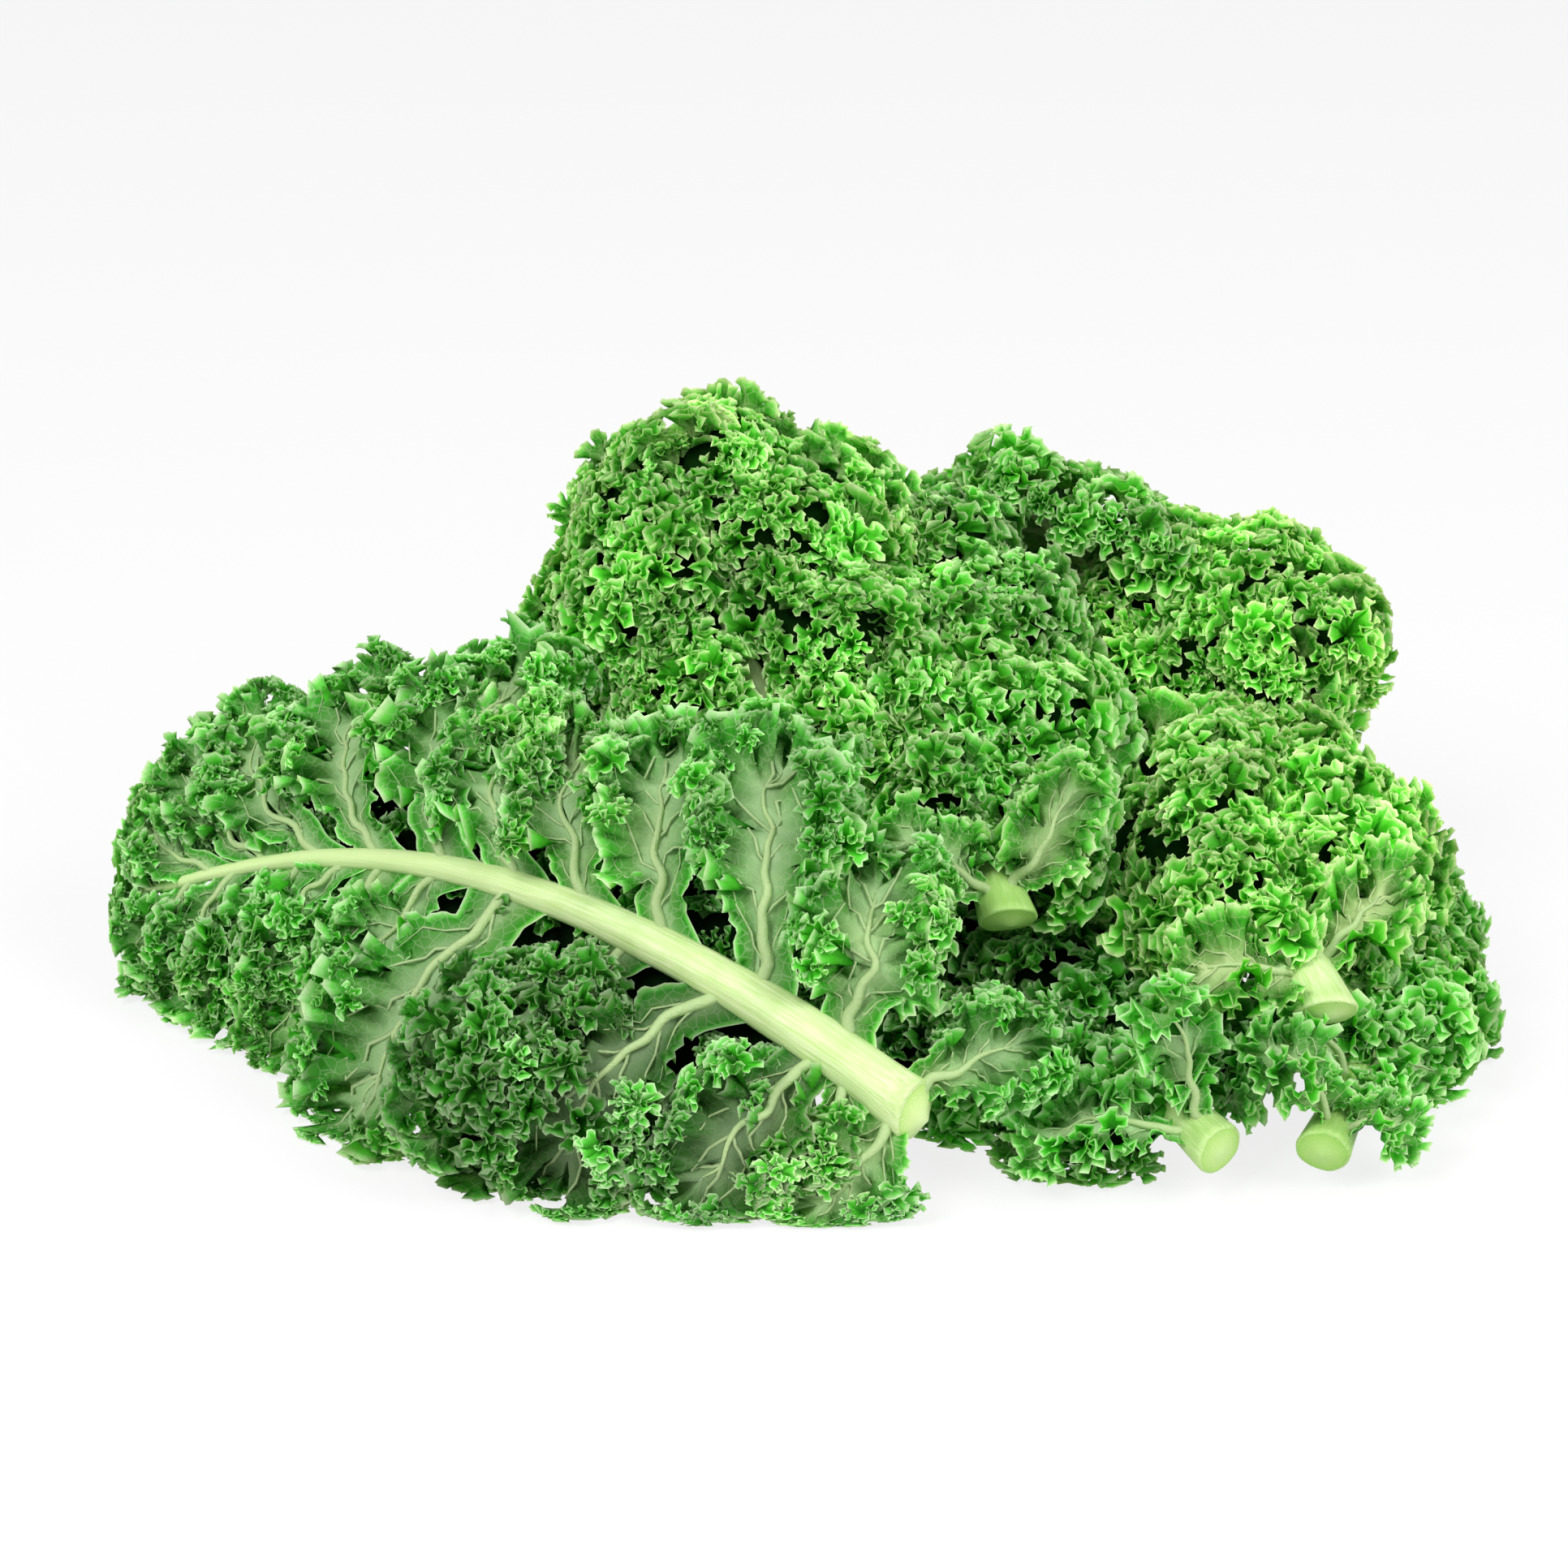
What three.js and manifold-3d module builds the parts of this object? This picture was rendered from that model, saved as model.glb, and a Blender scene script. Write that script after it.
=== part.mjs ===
// A bunch of ten curly kale leaves lying in a heap, in millimetres, +Z up.
// Each leaf is two solids: the stalk, which runs on as the midrib to near the tip, and the blade,
// whose curled lobes are closed here as one thick lobed pad. The blades of the leaves that lie
// face up are domed with frills, and the front leaf lies face down with its midrib outwards.
// The origin is at the middle of the heap's footprint, on the surface that it lies on.
import * as THREE from "three";
import { mergeVertices } from "three/addons/utils/BufferGeometryUtils.js";
import Module from "manifold-3d";

const wasm = await Module();
wasm.setup();

// Driving dimensions, shared by every leaf.
const STALK_SIDES = 10;
const STALK_TIP_RADIUS = 1.6; // the midrib's radius where it fades out near the tip
const STALK_STEP = 16; // spacing of the stalk's sections along its length
const STALK_FLATTEN = 0.86; // a petiole is a little flatter than it is wide
const STALK_TAPER = 1.15; // above 1 the midrib thins faster near the cut end
const BLADE_END = 0.96; // where along the midrib the blade's last section stands
const ROWS_PER_LOBE = 4;
const SPANS = 4; // facets across each side of the blade
const RIM_THICKNESS = 5; // the pad's thickness at its frilled rim
const END_REACH = 0.7; // the first and last ribs, as a share of their neighbours
const END_DEPTH = 0.45; // the pad's depth at its first and last sections, as a share
const END_RISE = 3; // how fast the depth grows from there
const LUMP = 0.22; // how much thinner the pad is in the creases between its lobes
const LOBE_TWIST = 1.3; // radians by which the waves of the two sides are out of step
const BODY_START = 0.16; // the width follows an arch that starts here on a half turn,
const BODY_TURN = 0.62; // runs over this much of it,
const TIP_LOSS = 0.28; // and loses this share again at the tip
const WELD = 1e-3; // vertices closer than this are one
const CLEARANCE = 0.6; // how far a cut stands off the solid that makes it, along each axis
const SMOOTHING = 0.03; // facets smaller than this are merged after a cut
const FAR = 2000; // the size of the block that trims what is under the floor
const FLOOR = 0;

// One entry for each leaf. `route` is the midrib from the cut end to the tip, and the blade begins
// at `bladeStart` along it. `outward` is the way the side that shows faces. `reach` is how far the
// longest side lobes go from the midrib, `depth` how thick the pad of frills is, and `droop` how
// far its long edges fall away from the side that shows. There are `lobes` a side, parted by
// notches that take the share `notch` of the reach, and rippled by `wave`. The lobes lean towards
// the tip: `sweep` is their angle to the midrib in degrees, at the blade's start and at its tip.
// A leaf that lies `faceDown` shows its duller underside.
const LEAVES = [
  {
    name: "front_leaf", faceDown: true, stalkRadius: 8.4, bladeStart: 0.1,
    reach: 78, depth: 9, droop: 10, lobes: 6, notch: 0.42, wave: 5, sweep: [88, 40],
    outward: [-0.05, -0.72, 0.69],
    route: [[40, -112, 25], [8, -100, 45], [-27, -80, 58], [-62, -55, 63], [-98, -30, 62],
      [-136, -5, 53], [-166, 10, 42], [-193, 20, 30]],
  },
  {
    name: "under_leaf", stalkRadius: 6, bladeStart: 0.25,
    reach: 44, depth: 30, droop: 10, lobes: 3, notch: 0.2, wave: 3, sweep: [85, 45],
    outward: [-0.1, -0.62, 0.78],
    route: [[22, -30, 9], [-14, -46, 12], [-46, -60, 14], [-72, -72, 15], [-92, -80, 14]],
  },
  {
    name: "tall_leaf", stalkRadius: 7, bladeStart: 0.24,
    reach: 70, depth: 32, droop: 24, lobes: 4, notch: 0.2, wave: 4, sweep: [95, 36],
    outward: [-0.16, -0.72, 0.68],
    route: [[36, -44, 28], [15, -14, 62], [-7, 16, 98], [-24, 42, 130], [-34, 62, 160]],
  },
  {
    name: "centre_leaf", stalkRadius: 8, bladeStart: 0.1,
    reach: 56, depth: 26, droop: 16, lobes: 4, notch: 0.25, wave: 4, sweep: [78, 38],
    outward: [0.05, -0.7, 0.71],
    route: [[64, -64, 60], [58, -34, 70], [52, 2, 84], [45, 38, 107], [37, 70, 132]],
  },
  {
    name: "right_leaf", stalkRadius: 8.6, bladeStart: 0.2,
    reach: 56, depth: 24, droop: 14, lobes: 4, notch: 0.25, wave: 4, sweep: [82, 40],
    outward: [0.16, -0.62, 0.77],
    route: [[153, -82, 40], [146, -58, 50], [143, -24, 59], [146, 10, 67], [150, 34, 72]],
  },
  {
    name: "ridge_leaf", stalkRadius: 6, bladeStart: 0.2,
    reach: 44, depth: 28, droop: 16, lobes: 4, notch: 0.2, wave: 3, sweep: [85, 45],
    outward: [0.1, -0.6, 0.79],
    route: [[66, 66, 56], [96, 70, 80], [126, 70, 95], [152, 62, 96], [170, 52, 88]],
  },
  {
    name: "back_leaf", stalkRadius: 6.5, bladeStart: 0.2,
    reach: 50, depth: 26, droop: 14, lobes: 4, notch: 0.22, wave: 4, sweep: [85, 40],
    outward: [0.25, 0.72, 0.65],
    route: [[150, 122, 2], [134, 120, 42], [112, 112, 82], [88, 106, 112], [68, 103, 130]],
  },
  {
    name: "rear_leaf", stalkRadius: 6.5, bladeStart: 0.18,
    reach: 58, depth: 26, droop: 16, lobes: 4, notch: 0.22, wave: 4, sweep: [85, 40],
    outward: [-0.25, 0.72, 0.65],
    route: [[58, 122, 2.8], [36, 116, 40], [8, 106, 70], [-24, 96, 88], [-52, 84, 92]],
  },
  {
    name: "low_leaf", stalkRadius: 7.4, bladeStart: 0.1,
    reach: 54, depth: 24, droop: 10, lobes: 4, notch: 0.3, wave: 4, sweep: [80, 45],
    outward: [-0.1, -0.45, 0.89],
    route: [[121, -112, 15], [108, -90, 18], [90, -62, 18], [65, -34, 17], [36, -8, 15], [8, 14, 13]],
  },
  {
    name: "side_leaf", stalkRadius: 7.4, bladeStart: 0.32,
    reach: 42, depth: 26, droop: 12, lobes: 4, notch: 0.22, wave: 3, sweep: [80, 45],
    outward: [0.45, -0.3, 0.84],
    route: [[148, -110, 13], [160, -80, 17], [170, -44, 24], [178, -6, 31], [180, 30, 34]],
  },
];

const vector = (p) => new THREE.Vector3(...p);

// The leaf's own directions at a point along the midrib: along it, across it, and out of the leaf.
function frameAt(curve, outward, u) {
  const at = curve.getPointAt(u);
  const along = curve.getTangentAt(u);
  const out = vector(outward);
  out.addScaledVector(along, -out.dot(along)).normalize();
  const across = new THREE.Vector3().crossVectors(out, along).normalize();
  return { at, along, across, out };
}

// A closed surface through sections that all have the same number of points, capped at both ends.
// The second half of each section is split the other way, so a pad's top folds like its underside.
function loft(sections) {
  const count = sections[0].length;
  const positions = [];
  const faces = [];
  sections.forEach((section) => section.forEach((p) => positions.push(p.x, p.y, p.z)));
  for (let i = 0; i + 1 < sections.length; i += 1) {
    for (let j = 0; j < count; j += 1) {
      const a = i * count + j;
      const b = i * count + ((j + 1) % count);
      const [c, d] = [b + count, a + count];
      faces.push(...(j < count / 2 ? [a, b, c, a, c, d] : [a, b, d, b, c, d]));
    }
  }
  // Each cap is a strip between the section's two halves.
  const end = (sections.length - 1) * count;
  for (let j = 0; j + 1 < count / 2; j += 1) {
    const [p, q, r, t] = [j, j + 1, count - 2 - j, count - 1 - j];
    faces.push(q, p, t, q, t, r, end + p, end + q, end + t, end + q, end + r, end + t);
  }
  const geometry = new THREE.BufferGeometry();
  geometry.setAttribute("position", new THREE.Float32BufferAttribute(positions, 3));
  geometry.setIndex(faces);
  return geometry;
}

// How wide the leaf is at u, from 0 at the first lobe to 1 at the tip, as a share of its reach.
const envelope = (u) => Math.sin(Math.PI * (BODY_START + BODY_TURN * u)) * (1 - TIP_LOSS * u ** 4);

// A wave from 0 to 1 and back, over a full turn.
const wave01 = (phase) => 0.5 + 0.5 * Math.cos(phase);

// The pad of a leaf's curled lobes. Its sections follow ribs that sweep towards the tip.
function bladeGeometry(leaf) {
  const curve = new THREE.CatmullRomCurve3(leaf.route.map(vector));
  const rows = leaf.lobes * ROWS_PER_LOBE + 1;
  const [sweepBase, sweepTip] = leaf.sweep;
  const sections = [];
  for (let i = 0; i < rows; i += 1) {
    const u = i / (rows - 1);
    const frame = frameAt(curve, leaf.outward, leaf.bladeStart + (BLADE_END - leaf.bladeStart) * u);
    const angle = THREE.MathUtils.degToRad(sweepBase + (sweepTip - sweepBase) * u ** 1.5);
    const phase = 2 * Math.PI * leaf.lobes * u;
    const isEnd = i === 0 || i === rows - 1;
    const reach = leaf.reach * envelope(u) * (isEnd ? END_REACH : 1 - leaf.notch * wave01(phase) ** 2);
    const rise = Math.min(1, END_DEPTH + END_RISE * Math.min(u, 1 - u));
    const top = [];
    const under = [];
    for (let j = -SPANS; j <= SPANS; j += 1) {
      const v = j / SPANS;
      const side = Math.sign(v);
      const rib = frame.across.clone().multiplyScalar(side * Math.sin(angle));
      rib.addScaledVector(frame.along, Math.cos(angle));
      const ripple = leaf.wave * v * v * Math.sin(phase + LOBE_TWIST * side + 2 * v);
      const base = frame.at.clone().addScaledVector(rib, Math.abs(v) * reach);
      base.addScaledVector(frame.out, ripple - leaf.droop * v * v);
      const lump = 1 - LUMP * wave01(phase + Math.PI * Math.abs(v));
      const full = RIM_THICKNESS + (leaf.depth - RIM_THICKNESS) * (1 - v ** 4) * rise * lump;
      top.push(base.clone().addScaledVector(frame.out, full));
      under.push(base);
    }
    sections.push([...under, ...top.reverse()]);
  }
  return loft(sections);
}

// The stalk and midrib: a tapered, slightly flattened rod, cut square at its thick end.
function stalkGeometry(leaf) {
  const curve = new THREE.CatmullRomCurve3(leaf.route.map(vector));
  const steps = Math.ceil(curve.getLength() / STALK_STEP);
  const sections = [];
  for (let i = 0; i <= steps; i += 1) {
    const u = i / steps;
    const frame = frameAt(curve, leaf.outward, u);
    const taper = (1 - u) ** STALK_TAPER;
    const radius = STALK_TIP_RADIUS + (leaf.stalkRadius - STALK_TIP_RADIUS) * taper;
    const section = [];
    for (let j = 0; j < STALK_SIDES; j += 1) {
      const turn = (2 * Math.PI * j) / STALK_SIDES;
      const p = frame.at.clone().addScaledVector(frame.across, radius * Math.cos(turn));
      p.addScaledVector(frame.out, radius * STALK_FLATTEN * Math.sin(turn));
      section.push(p);
    }
    sections.push(section);
  }
  return loft(sections);
}

function solidFrom(geometry) {
  const merged = mergeVertices(geometry, WELD);
  return new wasm.Manifold(
    new wasm.Mesh({
      numProp: 3,
      vertProperties: merged.attributes.position.array,
      triVerts: new Uint32Array(merged.index.array),
    }),
  );
}

function geometryFrom(solid) {
  const mesh = solid.getMesh();
  const geometry = new THREE.BufferGeometry();
  geometry.setAttribute("position", new THREE.BufferAttribute(mesh.vertProperties.slice(), 3));
  geometry.setIndex(new THREE.BufferAttribute(mesh.triVerts.slice(), 1));
  return geometry;
}

const largest = (solid) =>
  solid.decompose().reduce((best, piece) => (piece.volume() > best.volume() ? piece : best));

// The block below the floor: what a leaf would sink into it is cut off flat, where it rests.
const underFloor = solidFrom(
  new THREE.BoxGeometry(FAR, FAR, FAR).deleteAttribute("normal").deleteAttribute("uv")
    .translate(0, 0, FLOOR - FAR / 2),
);

const material = (name, color, roughness) =>
  new THREE.MeshStandardMaterial({ name, color: new THREE.Color(...color), roughness, metalness: 0 });
const stalkMaterial = material("stalk", [0.66, 0.78, 0.42], 0.45);
const bladeMaterial = material("blade", [0.12, 0.42, 0.1], 0.5);
const undersideMaterial = material("underside", [0.22, 0.46, 0.2], 0.7);

const bunch = new THREE.Group();
bunch.name = "kale_bunch";

const stalks = LEAVES.map((leaf) => solidFrom(stalkGeometry(leaf)).subtract(underFloor));

// The room that a closed surface needs: itself, and itself moved a little each way.
const STEPS_ASIDE = [[0, 0, 0], [1, 0, 0], [-1, 0, 0], [0, 1, 0], [0, -1, 0], [0, 0, 1], [0, 0, -1]];
const roomsFor = (geometry) =>
  STEPS_ASIDE.map((step) => solidFrom(geometry).translate(step.map((value) => value * CLEARANCE)));

// Each blade is cut back from every stalk and from the blades of the leaves before it.
const rooms = LEAVES.flatMap((leaf) => roomsFor(stalkGeometry(leaf)));
LEAVES.forEach((leaf, i) => {
  const uncut = bladeGeometry(leaf);
  const onFloor = solidFrom(uncut).subtract(underFloor);
  const cut = largest(rooms.reduce((rest, room) => rest.subtract(room), onFloor));
  const blade = largest(solidFrom(geometryFrom(cut.simplify(SMOOTHING))));
  rooms.push(...roomsFor(uncut));
  const stalkMesh = new THREE.Mesh(geometryFrom(largest(stalks[i])), stalkMaterial);
  stalkMesh.name = `${leaf.name}_stalk`;
  const bladeMesh = new THREE.Mesh(geometryFrom(blade), leaf.faceDown ? undersideMaterial : bladeMaterial);
  bladeMesh.name = `${leaf.name}_blade`;
  bunch.add(stalkMesh, bladeMesh);
});

// The heap is set down with the middle of its footprint at the origin.
const box = new THREE.Box3().setFromObject(bunch);
const middle = box.getCenter(new THREE.Vector3());
bunch.children.forEach((mesh) => mesh.geometry.translate(-middle.x, -middle.y, -box.min.z));

export default bunch;
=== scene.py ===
import math
import bpy
import numpy as np
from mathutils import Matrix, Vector, noise
from mathutils.bvhtree import BVHTree


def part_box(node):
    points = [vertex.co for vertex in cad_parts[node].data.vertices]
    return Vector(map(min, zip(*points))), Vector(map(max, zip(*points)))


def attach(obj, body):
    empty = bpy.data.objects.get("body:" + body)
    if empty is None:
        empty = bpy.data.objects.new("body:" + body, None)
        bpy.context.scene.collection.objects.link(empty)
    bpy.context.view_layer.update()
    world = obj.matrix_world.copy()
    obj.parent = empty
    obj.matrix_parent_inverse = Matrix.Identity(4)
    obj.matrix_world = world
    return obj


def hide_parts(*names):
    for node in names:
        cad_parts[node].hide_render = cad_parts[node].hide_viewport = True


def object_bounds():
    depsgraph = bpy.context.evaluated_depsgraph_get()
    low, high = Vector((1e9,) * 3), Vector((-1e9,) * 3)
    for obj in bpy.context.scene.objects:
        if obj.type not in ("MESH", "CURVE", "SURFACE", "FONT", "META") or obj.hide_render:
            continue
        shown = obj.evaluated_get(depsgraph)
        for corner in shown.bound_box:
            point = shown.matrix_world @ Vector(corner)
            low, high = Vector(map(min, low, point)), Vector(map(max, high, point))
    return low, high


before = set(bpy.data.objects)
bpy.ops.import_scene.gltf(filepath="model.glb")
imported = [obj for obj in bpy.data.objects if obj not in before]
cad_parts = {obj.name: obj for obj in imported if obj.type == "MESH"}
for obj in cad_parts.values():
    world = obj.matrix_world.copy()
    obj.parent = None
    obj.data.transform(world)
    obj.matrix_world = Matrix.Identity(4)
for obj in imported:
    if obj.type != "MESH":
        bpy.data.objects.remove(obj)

scene = bpy.context.scene
cad_box = [list(corner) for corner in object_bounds()]


# ---- The table, the light and the camera ----
# The kale lies on a plain white table in even studio light, with one large soft lamp up on the
# left and a weaker one on the right. None of this belongs to the bunch.
TABLE_SIDE = 8.0  # metres, like all lengths that Blender is given
TABLE_DROP = 0.0004  # keeps the tabletop clear of the leaves that lie flat on it
TABLE_WHITE = (0.86, 0.86, 0.86)
GLOW_SHARE = 0.82  # how much of the table's look is plain white, against what its shadows give
SKY_LIGHT = 0.5  # how bright the room is all round
KEY_LAMP = {"at": (-0.9, -0.9, 1.5), "side": 0.9, "watts": 25}
FILL_LAMP = {"at": (1.1, -0.7, 1.2), "side": 0.9, "watts": 18}
LOOK_AT = Vector((-0.00397, -0.01203, 0.075))
CAMERA_RISE = math.radians(25)
CAMERA_REACH = 1.0948  # from the camera to what it looks at
CAMERA_LENS = 85  # focal length in mm


def add_node(tree, kind, inputs=(), **settings):
    """A new node: each input given takes a plain value or another node's output."""
    node = tree.nodes.new(kind)
    for key, value in settings.items():
        setattr(node, key, value)
    for name, given in dict(inputs).items():
        socket = node.inputs[name]
        if isinstance(given, bpy.types.NodeSocket):
            tree.links.new(given, socket)
        else:
            socket.default_value = (*given, 1) if socket.type == "RGBA" else given
    return node


def maths(tree, operation, one, two):
    """One sum on two numbers or outputs."""
    return add_node(tree, "ShaderNodeMath", {0: one, 1: two}, operation=operation).outputs[0]


def times(tree, one, two):
    return maths(tree, "MULTIPLY", one, two)


def seen_directly(tree):
    """1 for what the camera sees straight on, or in gloss, or through something clear."""
    rays = add_node(tree, "ShaderNodeLightPath").outputs
    straight = maths(tree, "MAXIMUM", rays["Is Camera Ray"], rays["Is Glossy Ray"])
    return maths(tree, "MAXIMUM", straight, rays["Is Transmission Ray"])


def white_world():
    world = bpy.data.worlds.new("studio")
    world.use_nodes = True
    tree = world.node_tree
    tree.nodes.clear()
    soft = add_node(tree, "ShaderNodeBackground", {"Strength": SKY_LIGHT}).outputs[0]
    white = add_node(tree, "ShaderNodeBackground", {"Strength": 1.0}).outputs[0]
    mix = add_node(tree, "ShaderNodeMixShader", {0: seen_directly(tree), 1: soft, 2: white})
    add_node(tree, "ShaderNodeOutputWorld", {"Surface": mix.outputs[0]})
    return world


def blank_finish(name):
    """A material with an empty node tree."""
    finish = bpy.data.materials.new(name)
    finish.use_nodes = True
    finish.node_tree.nodes.clear()
    return finish, finish.node_tree


def table_finish():
    finish, tree = blank_finish("white_table")
    matt = add_node(tree, "ShaderNodeBsdfDiffuse", {"Color": TABLE_WHITE}).outputs[0]
    glow = add_node(tree, "ShaderNodeEmission", {"Strength": 1.0}).outputs[0]
    share = times(tree, seen_directly(tree), GLOW_SHARE)
    mix = add_node(tree, "ShaderNodeMixShader", {0: share, 1: matt, 2: glow})
    add_node(tree, "ShaderNodeOutputMaterial", {"Surface": mix.outputs[0]})
    return finish


def soft_lamp(name, spec):
    lamp = bpy.data.lights.new(name, "AREA")
    lamp.energy, lamp.size = spec["watts"], spec["side"]
    holder = bpy.data.objects.new(name, lamp)
    holder.location = spec["at"]
    holder.rotation_euler = (LOOK_AT - Vector(spec["at"])).to_track_quat("-Z", "Y").to_euler()
    scene.collection.objects.link(holder)


scene.world = white_world()
corners = [(x * TABLE_SIDE / 2, y * TABLE_SIDE / 2, -TABLE_DROP)
           for x, y in ((-1, -1), (1, -1), (1, 1), (-1, 1))]
table_mesh = bpy.data.meshes.new("white_table")
table_mesh.from_pydata(corners, [], [(0, 1, 2, 3)])
table_mesh.materials.append(table_finish())
table = bpy.data.objects.new("white_table", table_mesh)
scene.collection.objects.link(table)
soft_lamp("key_lamp", KEY_LAMP)
soft_lamp("fill_lamp", FILL_LAMP)

camera = bpy.data.objects.new("camera", bpy.data.cameras.new("camera"))
camera.data.lens = CAMERA_LENS
backwards = Vector((0, -math.cos(CAMERA_RISE), math.sin(CAMERA_RISE)))
camera.location = LOOK_AT + backwards * CAMERA_REACH
camera.rotation_euler = (math.pi / 2 - CAMERA_RISE, 0, 0)
scene.collection.objects.link(camera)
scene.camera = camera
scene.view_settings.view_transform = "Standard"


# ---- The front leaf's stalk ----
# The leaf in front lies face down, so its stalk and midrib lie on top: a pale, juicy rod, cut off
# at the right and thinning out to the leaf's tip at the left. It and the blade grew as one.
MM = 0.001
# what every leaf starts from; each then has its midrib's route in mm, from the cut end to the
# tip, and which way outward is for the side that shows
LEAF = {
    "stalk": 6,  # radius of the stalk at its cut end, in mm
    "start": 0.2,  # where the blade begins, as a share of the midrib
    "reach": 50,  # half the blade's width, in mm
    "depth": 26,  # how thick it is with its frills, in mm
    "droop": 14,  # how far its sides hang down, in mm
    "lobes": 4,  # on each side
    "notch": 0.22,  # how deep the gaps between them are, as a share of the width
    "wave": 4,  # how far the sides wave up and down, in mm
    "sweep": (85, 40),  # angle from the midrib to the side veins, at the blade's start and end
    "slant": (0.1, 0.1),  # how the knife's cut leans, across the stalk and outwards
    "green": 0.0,  # how much greener than the front leaf's its stalk is
    "taper": 0.0,  # how much the tip narrows
    "groove": 0.0,  # how wide a strip along the midrib has no frills, as a share of the width
    "cover": (),  # shares of the stalk where frills lie over it
    "collar": (),  # the lobes beside its cut end
}
FRONT = dict(
    LEAF, name="front", stalk=8.4, start=0.1, reach=78, depth=9, droop=10, lobes=6, notch=0.42,
    wave=5, sweep=(88, 40), slant=(-0.1, 0.5), outward=(-0.05, -0.72, 0.69),
    route=[(40, -112, 25), (8, -100, 45), (-27, -80, 58), (-62, -55, 63),
           (-98, -30, 62), (-136, -5, 53), (-166, 10, 42), (-193, 20, 30)],
)
FINE_STEPS = 400  # points along a midrib
STALK_TIP = 1.6  # radius in mm where the midrib runs out
STALK_FLATTEN = 0.86  # its height as a share of its width
STALK_TAPER = 1.15  # above 1, it thins more quickly near the cut
STALK_ROUND = 28  # facets round the stalk
STALK_STEP = 3.0  # mm between its rings
CUT_BEVEL = 0.5  # mm
CUT_RINGS = (0.93, 0.8, 0.55, 0.28, 0.06)  # the rings across the cut face
CUT_DISH = 0.5  # mm that the cut face is dished
CUT_REACH = 18  # mm up the stalk over which its slant fades out
FIBRE_STRETCH = (0.9, 0.9, 0.028)  # fibres are some thirty times as long as they are wide
# the skin's colours from a fibre's groove up, and the flesh's from the cut's rim to its middle
SKIN_GREENS = [(0.3, (0.50, 0.69, 0.25)), (0.46, (0.62, 0.78, 0.35)),
               (0.6, (0.72, 0.84, 0.46)), (0.75, (0.80, 0.89, 0.57))]
FLESH_GREENS = [(0.5, (0.36, 0.60, 0.12)), (0.56, (0.55, 0.78, 0.24)),
                (0.7, (0.66, 0.84, 0.34)), (1.0, (0.74, 0.88, 0.46))]


def unit(v):
    return v / np.maximum(np.linalg.norm(v, axis=-1, keepdims=True), 1e-9)


def lengths(path):
    """How far each point of a path is along it."""
    return np.concatenate([[0], np.cumsum(np.linalg.norm(np.diff(path, axis=0), axis=1))])


def read_at(places, s, path):
    """A path's points at given places, where s says how far along each of its own points is."""
    return np.stack([np.interp(places, s, values) for values in path.T], -1)


def smooth_route(points, count):
    """A centripetal Catmull-Rom curve through the points, as evenly spaced samples."""
    def blend(p, q, start, end):
        return ((end - t) * p + (t - start) * q) / (end - start)

    p = np.array(points, float)
    p = np.vstack([2 * p[0] - p[1], p, 2 * p[-1] - p[-2]])
    samples = []
    for a, b, c, d in zip(p, p[1:], p[2:], p[3:]):
        steps = [np.linalg.norm(n - m) ** 0.5 for m, n in ((a, b), (b, c), (c, d))]
        t0, t1, t2, t3 = np.cumsum([0.0] + steps)
        t = np.linspace(t1, t2, 40, endpoint=False)[:, None]
        ab, bc, cd = blend(a, b, t0, t1), blend(b, c, t1, t2), blend(c, d, t2, t3)
        samples.append(blend(blend(ab, bc, t0, t2), blend(bc, cd, t1, t3), t1, t2))
    path = np.vstack(samples + [p[-2:-1]])
    s = lengths(path)
    return read_at(np.linspace(0, s[-1], count), s, path)


def leaf_frames(leaf, shares):
    """Where the midrib is at each share of its length, and the leaf's directions there."""
    if "fine" not in leaf:
        fine = smooth_route(leaf["route"], FINE_STEPS)
        leaf["fine"] = np.hstack([fine, unit(np.gradient(fine, axis=0))])
    index = np.clip(np.asarray(shares, float), 0, 1) * (FINE_STEPS - 1)
    both = read_at(index, np.arange(FINE_STEPS), leaf["fine"])
    at, along = both[..., :3], unit(both[..., 3:])
    out = np.array(leaf["outward"], float)
    out = unit(out - (along * out).sum(-1, keepdims=True) * along)
    return at, along, np.cross(out, along), out


def frame_at(leaf, share):
    return [values[0] for values in leaf_frames(leaf, [share])]


def stalk_radius(leaf, share):
    return STALK_TIP + (leaf["stalk"] - STALK_TIP) * (1 - share) ** STALK_TAPER


def ring_points(leaf, share, sides):
    """The stalk's outline at a share of its length, in mm."""
    at, _, across, out = frame_at(leaf, share)
    turn = 2 * np.pi * np.arange(sides) / sides
    around = np.cos(turn)[:, None] * across + STALK_FLATTEN * np.sin(turn)[:, None] * out
    return at + stalk_radius(leaf, share) * around


# The routes are laid out from the middle of the table, and the heap as packed is centred.
packed_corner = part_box("front_leaf_stalk")[0]
HEAP_SHIFT = np.array([
    packed_corner[0] / MM - ring_points(FRONT, 1.0, 10)[:, 0].min(),
    packed_corner[1] / MM - ring_points(FRONT, 0.0, 10)[:, 1].min(),
    0.0,
])


def mesh_from(name, points, faces, finishes, **values):
    """A smooth mesh from points in mm, with its named values, one for each point."""
    mesh = bpy.data.meshes.new(name)
    mesh.from_pydata(((points + HEAP_SHIFT) * MM).tolist(), [], faces.tolist())
    for key, data in values.items():
        data = np.asarray(data, np.float32)
        kind, field = ("FLOAT_VECTOR", "vector") if data.ndim == 2 else ("FLOAT", "value")
        mesh.attributes.new(key, kind, "POINT").data.foreach_set(field, data.ravel())
    mesh.polygons.foreach_set("use_smooth", [True] * len(mesh.polygons))
    for finish in finishes:
        mesh.materials.append(finish)
    mesh.update()
    return mesh


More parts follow.
